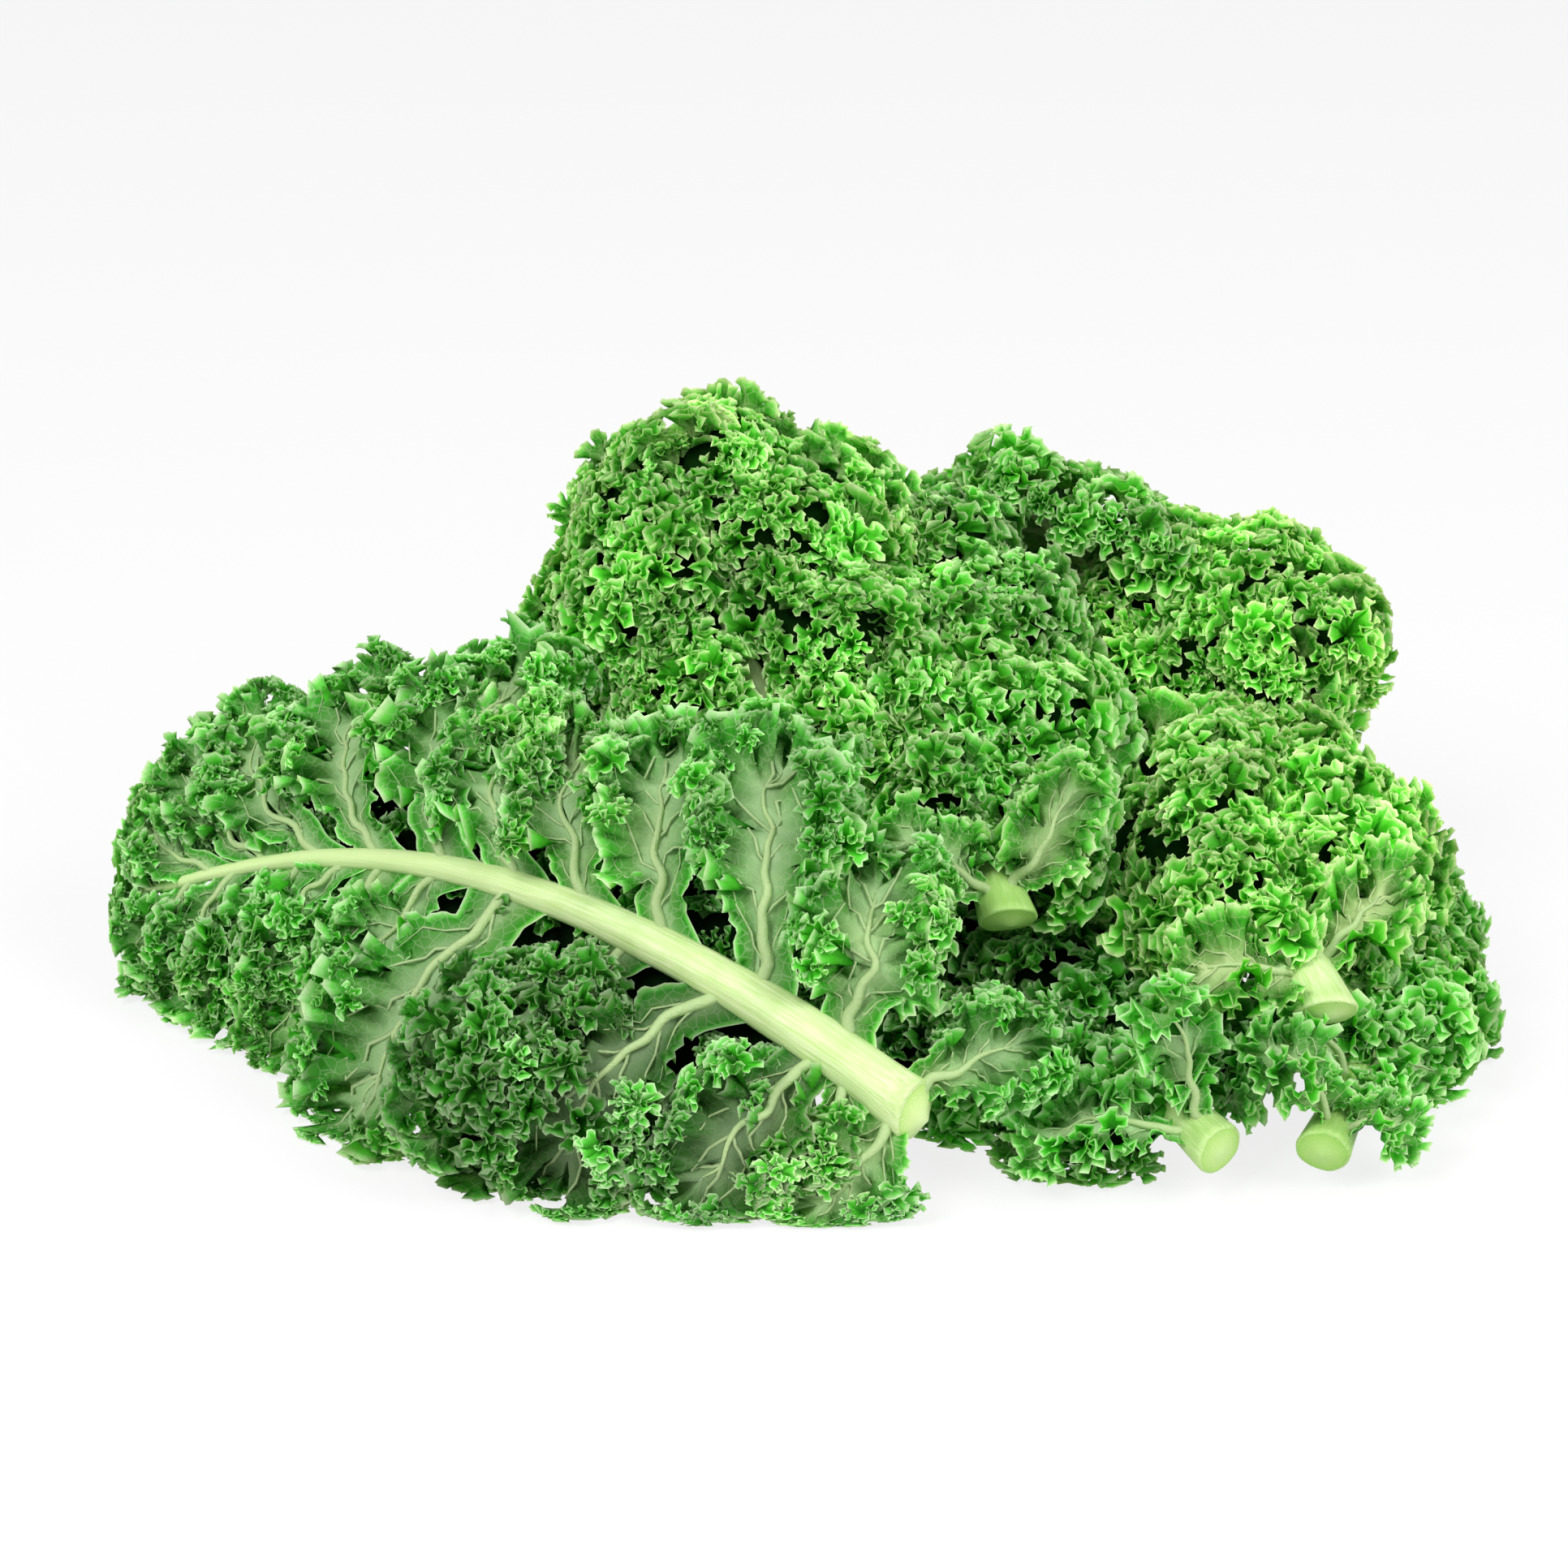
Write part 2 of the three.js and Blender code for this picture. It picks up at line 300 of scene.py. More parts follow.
def add_piece(name, mesh, node):
    """One visible piece, in place of a solid leaf part's node."""
    piece = bpy.data.objects.new(name, mesh)
    scene.collection.objects.link(piece)
    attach(piece, "root")
    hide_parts(node)


def split_patches(a, b, c, d):
    """Two triangles for each four-cornered patch."""
    return np.vstack([np.column_stack([a, b, c]), np.column_stack([a, c, d])])


def tube_faces(rings, sides):
    i, j = np.meshgrid(np.arange(rings - 1), np.arange(sides), indexing="ij")
    a, b = (i * sides + j).ravel(), (i * sides + (j + 1) % sides).ravel()
    return split_patches(a, b, b + sides, a + sides)


def noise_along(s, wavelength, rng):
    """A smooth wander along s, about -1 to 1."""
    total = np.zeros_like(s, dtype=float)
    for octave, weight in ((1, 1.0), (2, 0.5)):
        for _ in range(3):
            turn = 2 * np.pi * s * octave / (wavelength * rng.uniform(0.7, 1.6))
            total += weight * rng.uniform(0.5, 1) * np.sin(turn + rng.uniform(0, 2 * np.pi))
    return total / 2.4


def stalk_mesh(leaf, finish, seed):
    """The stalk, faintly ribbed lengthwise, closed by its cut face and by its thin tip."""
    rng = np.random.default_rng(seed)
    span = lengths(smooth_route(leaf["route"], 60))[-1]
    rings = int(span / STALK_STEP)
    shares = np.concatenate([[0, CUT_BEVEL / span], np.linspace(0, 1, rings)[1:]])
    at, along, across, out = leaf_frames(leaf, shares)
    turn = 2 * np.pi * np.arange(STALK_ROUND) / STALK_ROUND
    groove = 0.05 * np.exp(-((turn - 1.5 * np.pi) / 0.5) ** 2)
    ribs = 0.012 * np.sin(5 * turn + 1) + 0.010 * np.sin(9 * turn + 4) - groove
    swell = 1 + 0.018 * noise_along(shares * span, 38, rng) + 0.05 * np.exp(-shares * span / 9)
    radius = stalk_radius(leaf, shares) * swell
    radius[0] -= CUT_BEVEL
    radius[-1] *= 0.5
    x, y = np.cos(turn), np.sin(turn)
    around = x[:, None] * across[:, None] + STALK_FLATTEN * y[:, None] * out[:, None]
    body = at[:, None] + around * (radius[:, None] * (1 + ribs))[..., None]
    aside, outwards = leaf["slant"]
    setback = radius[0] * (aside * x + outwards * y + abs(aside) + abs(outwards))
    ease = np.clip(1 - lengths(at) / CUT_REACH, 0, 1)
    body += along[:, None] * (setback * ease[:, None])[..., None]
    rows, stem, cut = [body[i] for i in range(len(body))], [], [0.0] * len(body)
    for share in CUT_RINGS:
        dish = CUT_DISH * (1 - share ** 2)
        rows.insert(0, at[0] + (body[0] - at[0]) * share + along[0] * dish)
        cut.insert(0, 1.0 - share * 0.5)
    girth = np.stack([x, y], 1)
    travel = np.concatenate([np.full(len(rows) - len(body), -1.0), shares * span])
    for i in range(len(rows)):
        size = np.linalg.norm(rows[i] - rows[i].mean(0), axis=1)
        stem.append(np.column_stack([girth * size[:, None], np.full(STALK_ROUND, travel[i])]))
    points = np.vstack(rows)
    n, last = STALK_ROUND, (len(rows) - 1) * STALK_ROUND
    caps = [(0, k + 1, k) for k in range(1, n - 1)]
    caps += [(last + k, last + k + 1, last) for k in range(1, n - 1)]
    return mesh_from(
        leaf["name"] + "_stalk", points, np.vstack([tube_faces(len(rows), n), caps]), [finish],
        stem=np.vstack(stem), cut=np.repeat(cut, n), green=np.full(len(points), leaf["green"]),
        share=np.repeat(np.clip(travel, 0, None) / span, n))


def ramp_node(tree, factor, stops):
    node = add_node(tree, "ShaderNodeValToRGB", {"Fac": factor})
    ramp = node.color_ramp
    ramp.elements[0].position, ramp.elements[0].color = stops[0][0], (*stops[0][1], 1)
    ramp.elements[1].position, ramp.elements[1].color = stops[-1][0], (*stops[-1][1], 1)
    for position, colour in stops[1:-1]:
        ramp.elements.new(position).color = (*colour, 1)
    return node.outputs["Color"]


def value_ramp(tree, factor, low, high):
    return add_node(tree, "ShaderNodeMapRange", {
        "Value": factor, "From Min": low, "From Max": high},
        interpolation_type="SMOOTHSTEP").outputs["Result"]


def mix_colour(tree, factor, one, two, blend="MIX"):
    """One colour over another: a mix node's colours are sockets 6 and 7, its result is 2."""
    return add_node(tree, "ShaderNodeMix", {0: factor, 6: one, 7: two},
                    data_type="RGBA", blend_type=blend).outputs[2]


def tinted(tree, colour, by):
    return mix_colour(tree, 1.0, colour, by, "MULTIPLY")


def attribute(tree, name, output="Fac"):
    return add_node(tree, "ShaderNodeAttribute", attribute_name=name).outputs[output]


def noise_texture(tree, where, scale, detail, roughness):
    return add_node(tree, "ShaderNodeTexNoise", {
        "Vector": where, "Scale": scale, "Detail": detail, "Roughness": roughness}).outputs["Fac"]


def bump_node(tree, height, distance):
    return add_node(tree, "ShaderNodeBump", {
        "Height": height, "Strength": 0.35, "Distance": distance}).outputs["Normal"]


def stalk_finish():
    """Pale green flesh under a thin shiny skin: fine lengthwise fibres, and a wet cut face."""
    finish, tree = blank_finish("kale_stalk")
    stem = attribute(tree, "stem", "Vector")
    cut, share, green = (attribute(tree, name) for name in ("cut", "share", "green"))
    fibre_space = add_node(tree, "ShaderNodeVectorMath", {0: stem, 1: FIBRE_STRETCH},
                           operation="MULTIPLY").outputs[0]
    fibres = noise_texture(tree, fibre_space, 1.6, 5.0, 0.62)
    clouds = noise_texture(tree, stem, 0.11, 3.0, 0.5)
    patchy = times(tree, value_ramp(tree, clouds, 0.4, 0.75), 0.4)
    skin = mix_colour(tree, patchy, ramp_node(tree, fibres, SKIN_GREENS), (0.42, 0.64, 0.18))
    skin = mix_colour(tree, value_ramp(tree, share, 0.25, 0.9), skin, (0.62, 0.78, 0.36))
    pores = add_node(tree, "ShaderNodeTexVoronoi", {"Vector": stem, "Scale": 1.3})
    pores = value_ramp(tree, pores.outputs["Distance"], 0.28, 0.05)
    flesh = mix_colour(tree, pores, ramp_node(tree, cut, FLESH_GREENS), (0.86, 0.93, 0.62))
    colour = mix_colour(tree, value_ramp(tree, cut, 0.45, 0.5), skin, flesh)
    greened = tinted(tree, colour, (0.45, 0.66, 0.3))
    colour = mix_colour(tree, green, colour, greened)
    bump = bump_node(tree, fibres, 0.0006)
    rough = add_node(tree, "ShaderNodeMapRange", {"Value": fibres, "To Min": 0.34, "To Max": 0.52})
    shader = add_node(tree, "ShaderNodeBsdfPrincipled", {
        "Base Color": colour, "Roughness": rough.outputs["Result"], "Normal": bump,
        "Subsurface Weight": 0.18, "Subsurface Radius": (0.6, 1.0, 0.3), "Subsurface Scale": 0.003,
        "IOR": 1.42})
    add_node(tree, "ShaderNodeOutputMaterial", {"Surface": shader.outputs[0]})
    return finish


STALK_FINISH = stalk_finish()
add_piece("front_stalk", stalk_mesh(FRONT, STALK_FINISH, 1), "front_leaf_stalk")


# ---- The front leaf's blade ----
# The leaf's back: dull grey-green flesh between raised pale veins. One thick side vein runs into
# each lobe and splits towards its margin, which grows far longer than the lobe and so is ruffled.
def lobe_at(share, base, wide, curl, *vein, tone=0.75, lean=0.0):
    """A lobe: where its vein leaves the midrib, as a share of that, and in mm the flesh along
    the midrib before and after the vein, the lobe's half width, how far its sides curl up, and
    the vein's course (along, across, out); last its tone, which where low is painted shade, and
    how far it leans back."""
    return dict(at=share, base=base, wide=wide, curl=curl, vein=vein, tone=tone, lean=lean)


FRONT_LOBES = [
    lobe_at(0.030, (5, 11), 14, 3, (-8, -20, 3), (-14, -32, 0)),
    lobe_at(0.112, (10, 12), 20, 4, (5, -20, 7), (13, -34, 6), (18, -44, 0)),
    lobe_at(0.206, (12, 13), 21, 5, (9, -20, 9), (21, -37, 10), (30, -53, 5), (33, -60, 0)),
    lobe_at(0.318, (13, 12), 19, 5, (12, -18, 8), (22, -35, 8), (27, -50, 2)),
    lobe_at(0.414, (13, 12), 17, 4, (13, -15, 6), (24, -27, 6), (30, -40, 1)),
    lobe_at(0.505, (12, 13), 18, 5, (14, -16, 6), (22, -31, 6), (27, -46, -1)),
    lobe_at(0.600, (13, 12), 20, 5, (7, -14, 7), (10, -33, 8), (6, -52, 2), (3, -60, -4)),
    lobe_at(0.690, (11, 11), 17, 5, (14, -16, 5), (22, -32, 6), (27, -50, -1)),
    lobe_at(0.772, (11, 10), 16, 4, (20, -16, 4), (33, -31, 3), (36, -44, -2)),
    lobe_at(0.846, (9, 9), 14, 4, (17, -16, 3), (29, -29, 1), (34, -37, -3)),
    lobe_at(0.915, (8, 7), 12, 3, (13, -8, 3), (24, -15, 1), (29, -19, -3)),
    lobe_at(0.975, (7, 5), 11, 3, (6, 0, 1), (12, -2, 0), (16, -4, -4)),
    lobe_at(0.945, (7, 7), 12, 4, (8, 9, 2), (15, 16, 0), (20, 22, -5)),
    lobe_at(0.885, (9, 9), 14, 4, (9, 12, 3), (14, 24, 1), (18, 34, -5)),
    lobe_at(0.790, (11, 12), 16, 5, (13, 17, 1), (21, 30, -3), (26, 43, -8)),
    lobe_at(0.680, (14, 14), 18, 5, (10, 20, -2), (19, 38, -6), (24, 54, -12)),
    lobe_at(0.735, (12, 12), 12, 4, (10, 12, 1), (17, 22, -1), (22, 31, -5)),
    lobe_at(0.600, (16, 16), 14, 4, (9, 14, -1), (15, 26, -4), (18, 36, -8)),
    # the lobes on the lower side get a low tone: painted shade, for the shadow under the leaf
    lobe_at(0.510, (20, 16), 26, 6, (6, 24, 4), (12, 47, 3), (16, 66, -4), (17, 74, -10), tone=0.2),
    lobe_at(0.352, (13, 12), 18, 4, (9, 18, -4), (14, 34, -9), (15, 48, -14), tone=-0.2),
    lobe_at(0.236, (13, 13), 21, 6, (9, 20, 5), (15, 40, 5), (16, 57, -2), (15, 64, -8), tone=-0.2),
    lobe_at(0.128, (12, 12), 19, 5, (2, 20, 4), (5, 37, 2), (5, 50, -5), tone=-0.2),
    lobe_at(0.080, (10, 9), 13, 4, (2, 13, 1), (3, 24, -3), (4, 32, -8), tone=0.1),
    lobe_at(0.034, (7, 12), 18, 4, (-1, 16, 1), (0, 29, -3), (1, 36, -8), tone=0.4),
]
VEIN_PAIRS = 5  # smaller veins along each side of a side vein
VEIN_LEAN = 0.3  # how far they run towards the lobe's tip, as a share of the lobe
VEIN_STEPS = 80  # points along a side vein's course
VEIN_RINGS = np.linspace(0, 77, 32).astype(int)  # the points of it that its tube goes through
VEIN_GIRTH = 0.28  # its radius where it starts, as a share of the stalk's
LOBE_TURN = 84  # degrees from a side vein's heading to the flesh beside it
SMALL_VEIN_SHARES = np.linspace(0, 0.86, 9)  # the smaller veins' points, from vein to margin
VEIN_SWAY = (26.0, 2.2)  # how long and how wide a side vein's bends are, in mm
PILLOW = 3.2  # mm that the flesh sinks between two smaller veins
LOBE_ROWS = (0.0, 0.22, 0.44, 0.66, 0.86, 1.0)  # the rows of points, from the vein to the margin
LOBE_POINTS = (25, 49, 97, 193, 385, 385)  # the points in each row
LOBE_RUFFLES = ((24.0, 7.0, 1.2, 0.1), (11.0, 3.4, 1.9, 0.2), (5.2, 1.8, 3.0, 0.3))
LOBE_TEETH = (2.6, 1.2)  # how far apart and how long, in mm
TUFTS_APART = 7.0  # mm between the tufts along the front leaf's margin


def ruffled(sheet, shares, rng, ruffles, teeth, vigour=1.0):
    """Pushes the flesh between a vein and its margin in and out of its own surface, most at the
    margin: long ruffles first, short ones upon them, and last the margin's small teeth. Each
    ruffle has its length, height, how late it starts, and how far it loops back on itself."""
    rows = np.array(shares)[:, None, None]
    away = unit(sheet[-1] - sheet[0])
    for wavelength, height, late, looped in ruffles:
        s = lengths(sheet[-1])
        turn = 2 * np.pi * s / wavelength + 1.3 * noise_along(s, wavelength * 3.1, rng)
        size = vigour * height * (1 + 0.4 * noise_along(s, wavelength * 2.3, rng))
        tangent = unit(np.gradient(sheet[-1], axis=0))
        normal = unit(np.cross(tangent, away))
        push = normal * (size * np.sin(turn))[:, None]
        push -= tangent * (looped * size * np.sin(2 * turn))[:, None]
        push += away * (0.25 * size * np.cos(2 * turn + 1))[:, None]
        sheet = sheet + push * rows ** late
    s = lengths(sheet[-1])
    apart, long = teeth
    saw = np.abs((s / apart + 0.35 * noise_along(s, apart * 5, rng)) % 1 - 0.5) * 2
    spike = vigour * (saw ** 1.6 - 0.35) * (1 + 0.5 * noise_along(s, apart * 7, rng))
    sheet[-1] += unit(sheet[-1] - sheet[-2]) * (long * spike)[:, None]
    return sheet


def knitted(sheet, shares, counts):
    """The sheet's points and triangles, with fewer points in the plain rows by the vein."""
    points, faces, rim, start = [], [], [], 0
    for row, count, share in zip(sheet, counts, shares):
        pick = np.arange(0, len(row), (len(row) - 1) // (count - 1))
        points.append(row[pick])
        rim.append(np.full(count, share))
    for few, many in zip(counts, counts[1:]):
        each = (many - 1) // (few - 1)
        a = start + np.arange(few - 1)
        b = start + few + each * np.arange(few - 1)
        middle = each // 2
        for k in range(each):
            near = a if k < middle or each == 1 else a + 1
            faces.append(np.column_stack([near, b + k, b + k + 1]))
        faces.append(np.column_stack([a, b + max(middle, 1), a + 1]))
        start += few
    return np.vstack(points), np.vstack(faces), np.concatenate(rim)


class Flesh:
    """Gathers the sheets and veins of one blade into one mesh."""

    def __init__(self):
        self.points, self.faces, self.values, self.count = [], [], [], 0

    # tone varies a piece's colour at random, and where it is low it is painted shade
    def add(self, points, faces, rim=0.0, tone=0.0, under=0.0, vein=0.0):
        self.points.append(points)
        self.faces.append(faces + self.count)
        self.count += len(points)
        one = np.ones(len(points))
        self.values.append(np.column_stack([rim * one, tone * one, under * one, vein * one]))

    def mesh(self, name):
        rim, tone, under, vein = np.vstack(self.values).T
        return mesh_from(name, np.vstack(self.points), np.vstack(self.faces), [LEAF_FINISH],
                         rim=rim, tone=tone, under=under, vein=vein)


def vein_tube(path, radii, face, sides):
    """A vein: a tapering rod along a path, a little proud of the flesh that it runs in."""
    along = unit(np.gradient(path, axis=0))
    side = unit(np.cross(np.broadcast_to(face, path.shape), along))
    up = np.cross(along, side)
    turn = 2 * np.pi * np.arange(sides) / sides
    ring = np.cos(turn)[:, None] * side[:, None] + 0.9 * np.sin(turn)[:, None] * up[:, None]
    points = (path[:, None] + ring * np.asarray(radii)[:, None, None]).reshape(-1, 3)
    last = (len(path) - 1) * sides
    caps = [(0, k + 1, k) for k in range(1, sides - 1)]
    caps += [(last, last + k, last + k + 1) for k in range(1, sides - 1)]
    return points, np.vstack([tube_faces(len(path), sides), caps])


def smoothstep(low, high, values):
    t = np.clip((values - low) / (high - low), 0, 1)
    return t * t * (3 - 2 * t)


def side_vein(leaf, lobe, rng):
    """The course of a lobe's vein, which sways a little, in even steps."""
    at, along, across, out = frame_at(leaf, lobe["at"])
    course = [at] + [at + x * along + y * across + z * out for x, y, z in lobe["vein"]]
    vein = smooth_route(course, VEIN_STEPS)
    s = lengths(vein)
    sway = np.minimum(s / 10, 1) * noise_along(s, VEIN_SWAY[0], rng) * VEIN_SWAY[1]
    return vein + unit(np.cross(out, np.gradient(vein, axis=0))) * sway[:, None]


def lobe_outline(leaf, lobe, vein, q):
    """The lobe's edge, from the midrib round to the midrib again as q goes from 0 to 1: how deep
    into the lobe it is, the vein's point that it goes with, its own place, and what is up."""
    at, along, across, out = frame_at(leaf, lobe["at"])
    out = unit(out - lobe["lean"] * along)
    depth, hand = 1 - np.abs(2 * q - 1), np.sign(q - 0.5)
    t = np.clip(depth / 0.8, 0, 1) * (VEIN_STEPS - 1)
    headings = unit(np.gradient(vein, axis=0))
    spine, heading = (read_at(t, np.arange(VEIN_STEPS), path) for path in (vein, headings))
    heading = unit(heading)
    normal = unit(out - (heading * out).sum(1, keepdims=True) * heading)
    side = np.cross(normal, heading)
    side *= np.sign((side * along).sum(1))[:, None]
    bend = np.radians(LOBE_TURN) * (1 - np.clip((depth - 0.5) / 0.5, 0, 1) ** 1.5)
    wide = lobe["wide"] * (0.34 + 0.66 * smoothstep(0.14, 0.5, depth))
    wide *= 1 - 0.25 * smoothstep(0.75, 1, depth)
    spread = np.cos(bend)[:, None] * heading + (hand * np.sin(bend))[:, None] * side
    edge = spine + wide[:, None] * spread
    edge += normal * (lobe["curl"] * np.sin(bend) ** 2 * smoothstep(0.1, 0.5, depth))[:, None]
    before, after = lobe["base"]
    root = at + along * np.where(hand < 0, -before, after)[:, None]
    way = np.sign(lobe["vein"][-1][1]) or 1
    root = root + across * way * stalk_radius(leaf, lobe["at"]) * 0.8
    hold = np.clip(1 - depth / 0.3, 0, 1)[:, None] ** 1.6
    return depth, spine, edge * (1 - hold) + root * hold, normal


def vein_between(sheet, shares, column):
    """The course of a smaller vein over the rows of a lobe's flesh."""
    path = []
    for share, c in zip(SMALL_VEIN_SHARES, column):
        row = int(np.searchsorted(shares, share, side="right")) - 1
        part = (share - shares[row]) / (shares[row + 1] - shares[row])
        left = min(int(c), sheet.shape[1] - 2)
        both = sheet[row] * (1 - part) + sheet[row + 1] * part
        path.append(both[left] * (1 - c + left) + both[left + 1] * (c - left))
    return np.array(path)


def add_lobe(flesh, leaf, lobe, rng, tufts=None):
    """One lobe: the flesh on both sides of its vein, that vein, the smaller veins, and where a
    list is given for them the tufts along its margin."""
    _, along, _, out = frame_at(leaf, lobe["at"])
    out = unit(out - lobe["lean"] * along)
    vein = side_vein(leaf, lobe, rng)
    q = np.linspace(0, 1, 1200)
    depth, _, edge, _ = lobe_outline(leaf, lobe, vein, q)
    paces = np.linalg.norm(np.diff(edge, axis=0), axis=1) * (0.35 + depth[1:])
    pace = np.concatenate([[0], np.cumsum(paces)])
    q = np.interp(np.linspace(0, pace[-1], LOBE_POINTS[-1]), pace, q)
    q[0], q[-1] = 0, 1
    depth, spine, edge, normal = lobe_outline(leaf, lobe, vein, q)
    s = lengths(edge)
    jagged = 0.22 * noise_along(s, 30, rng) + 0.1 * noise_along(s, 11, rng)
    edge += unit(edge - spine) * (lobe["wide"] * smoothstep(0.1, 0.4, depth) * jagged)[:, None]
    shares = np.array(LOBE_ROWS)
    sheet = spine + (edge - spine) * shares[:, None, None]
    uneven = np.arange(VEIN_PAIRS) + rng.uniform(-0.22, 0.22, VEIN_PAIRS)
    starts = 0.1 + 0.74 * uneven / VEIN_PAIRS
    rest = depth[None] - VEIN_LEAN * shares[:, None]
    marks = np.concatenate([[-1], starts, [2]])
    between = np.interp(rest, marks, np.arange(-1, VEIN_PAIRS + 1)) % 1
    sink = PILLOW * np.sin(np.pi * between) * np.sin(np.pi * shares ** 0.8)[:, None]
    sheet -= normal * (sink * smoothstep(0.02, 0.2, depth))[..., None]
    sheet = ruffled(sheet, LOBE_ROWS, rng, LOBE_RUFFLES, LOBE_TEETH, smoothstep(0.14, 0.42, depth))
    points, faces, rim = knitted(sheet, LOBE_ROWS, LOBE_POINTS)
    corners = points[faces]
    if (np.cross(corners[:, 1] - corners[:, 0], corners[:, 2] - corners[:, 0]) @ out).sum() < 0:
        faces = faces[:, ::-1]
    # the lobe's tone varies at random; where it is low it is painted shade
    tone = lobe["tone"] + rng.uniform(-0.25, 0.25)
    flesh.add(points, faces, rim, tone, under=1.0)

    rings = len(VEIN_RINGS)
    thick = np.linspace(1, 0.12, rings) * leaf["stalk"] * VEIN_GIRTH
    thick = thick * (0.7 + 0.3 * lobe["wide"] / 20) * (1 - 0.45 * lobe["at"])
    sunk = 0.35 * stalk_radius(leaf, lobe["at"]) * np.linspace(1, 0, rings) ** 6
    course = vein[VEIN_RINGS] + out * (0.45 * thick - sunk)[:, None]
    flesh.add(*vein_tube(course, thick, out, 7), tone=tone, under=1.0, vein=1.0)
    for start in starts:
        for way in (-1, 1):
            goal = start + VEIN_LEAN * SMALL_VEIN_SHARES
            column = np.interp(goal / 2 if way < 0 else 1 - goal / 2, q, np.arange(len(q)))
            up = normal[int(column[len(column) // 2])]
            path = vein_between(sheet, shares, column) + up * 0.12
            radii = np.linspace(0.75, 0.16, len(path)) * (0.7 + 0.4 * start) * lobe["wide"] / 20
            flesh.add(*vein_tube(path, radii, up, 4), tone=tone, under=1.0, vein=0.6)

    if tufts is None:
        return vein
    s = lengths(edge)
    for spot in np.arange(rng.uniform(0, TUFTS_APART), s[-1], TUFTS_APART):
        column = int(np.searchsorted(s, spot))
        if depth[min(column, len(q) - 1)] < 0.4:
            continue
        outwards = unit(sheet[-1][column] - sheet[-3][column])
        look = outwards + normal[column] * rng.uniform(0.1, 1.3)
        spot = sheet[-2][column] - outwards * rng.uniform(0, 4)
        spot = spot + normal[column] * rng.uniform(-2, 1.5)
        tufts.append((spot, unit(look), rng.uniform(0.5, 0.8)))
    return vein


def leaf_finish():
    """Kale flesh: waxy green above, dull grey-green below, with a thin pale edge to every frill,
    and painted shade at the frills' roots, in the hidden flesh and on parts that lie in shadow.
    """
    finish, tree = blank_finish("kale_leaf")
    names = ("rim", "tone", "under", "vein", "young")
    rim, tone, under, vein, young = (attribute(tree, name) for name in names)
    back = add_node(tree, "ShaderNodeNewGeometry").outputs["Backfacing"]
    below = maths(tree, "ABSOLUTE", maths(tree, "SUBTRACT", under, back), 0.5)
    where = add_node(tree, "ShaderNodeTexCoord").outputs["Object"]
    patches = noise_texture(tree, where, 24.0, 3.0, 0.6)
    crinkle = noise_texture(tree, where, 420.0, 3.0, 0.6)
    cells = add_node(tree, "ShaderNodeTexVoronoi", {"Vector": where, "Scale": 320.0},
                     feature="DISTANCE_TO_EDGE")
    net = value_ramp(tree, cells.outputs["Distance"], 0.09, 0.0)
    top, bottom = (ramp_node(tree, rim, list(zip(RIM_PLACES, greens)))
                   for greens in (UPPER_GREENS_AND_ROOT_SHADE, LOWER_GREENS))
    bottom = mix_colour(tree, times(tree, net, 0.35), bottom, (0.52, 0.70, 0.38))
    netted = times(tree, net, times(tree, rim, 0.2))
    top = mix_colour(tree, netted, top, (0.30, 0.62, 0.14))
    colour = mix_colour(tree, below, top, bottom)
    golden = tinted(tree, colour, (1.5, 1.25, 1.1))
    light = times(tree, value_ramp(tree, patches, 0.46, 0.7), 0.35)
    colour = mix_colour(tree, maths(tree, "ADD", light, young), colour, golden)
    # the piece's tone lightens or darkens its colour: random tone, and painted shade where it is
    # low
    shade = add_node(tree, "ShaderNodeMapRange", {
        "Value": tone, "From Min": -1.0, "To Min": 0.15, "To Max": 1.25}).outputs["Result"]
    # below zero, young is painted shade for leaves and frills low in the heap's shadow; above zero
    # it makes the colour lighter and yellower, as a young leaf's is
    painted_shade_from_youth = maths(tree, "MINIMUM", maths(tree, "ADD", young, 1.0), 1.0)
    colour = tinted(tree, colour, times(tree, shade, painted_shade_from_youth))
    colour = mix_colour(tree, vein, colour, (0.60, 0.76, 0.38))
    crinkle = times(tree, crinkle, 0.6)
    ripple = maths(tree, "ADD", crinkle, times(tree, net, 0.5))
    bump = bump_node(tree, ripple, 0.0005)
    sheen = value_ramp(tree, maths(tree, "MAXIMUM", rim, below), 0.0, 0.4)
    rough = add_node(tree, "ShaderNodeMapRange", {"Value": sheen, "To Min": 0.95, "To Max": 0.46})
    shader = add_node(tree, "ShaderNodeBsdfPrincipled", {
        "Base Color": colour, "Roughness": rough.outputs["Result"], "Normal": bump,
        "IOR": 1.33, "Specular IOR Level": 0.25})
    through = tinted(tree, colour, (0.7, 1.0, 0.3))
    glow = add_node(tree, "ShaderNodeBsdfTranslucent", {"Color": through, "Normal": bump})
    shader, glow = shader.outputs[0], glow.outputs[0]
    blend = add_node(tree, "ShaderNodeMixShader", {0: 0.3, 1: shader, 2: glow})
    add_node(tree, "ShaderNodeOutputMaterial", {"Surface": blend.outputs[0]})
    return finish


RIM_PLACES = (0.0, 0.45, 0.79, 0.91, 1.0)  # from the vein to the margin
# the upper side's greens from the vein to the margin: the near-black first stops are painted shade,
# for the frills' roots and the closed flesh hidden under them
UPPER_GREENS_AND_ROOT_SHADE = [(0.004, 0.04, 0.002), (0.024, 0.26, 0.008), (0.08, 0.58, 0.030),
                (0.18, 0.72, 0.10), (0.74, 0.94, 0.58)]
LOWER_GREENS = [(0.46, 0.68, 0.34), (0.15, 0.39, 0.09), (0.04, 0.33, 0.018),
                (0.18, 0.68, 0.10), (0.74, 0.94, 0.58)]
LEAF_FINISH = leaf_finish()

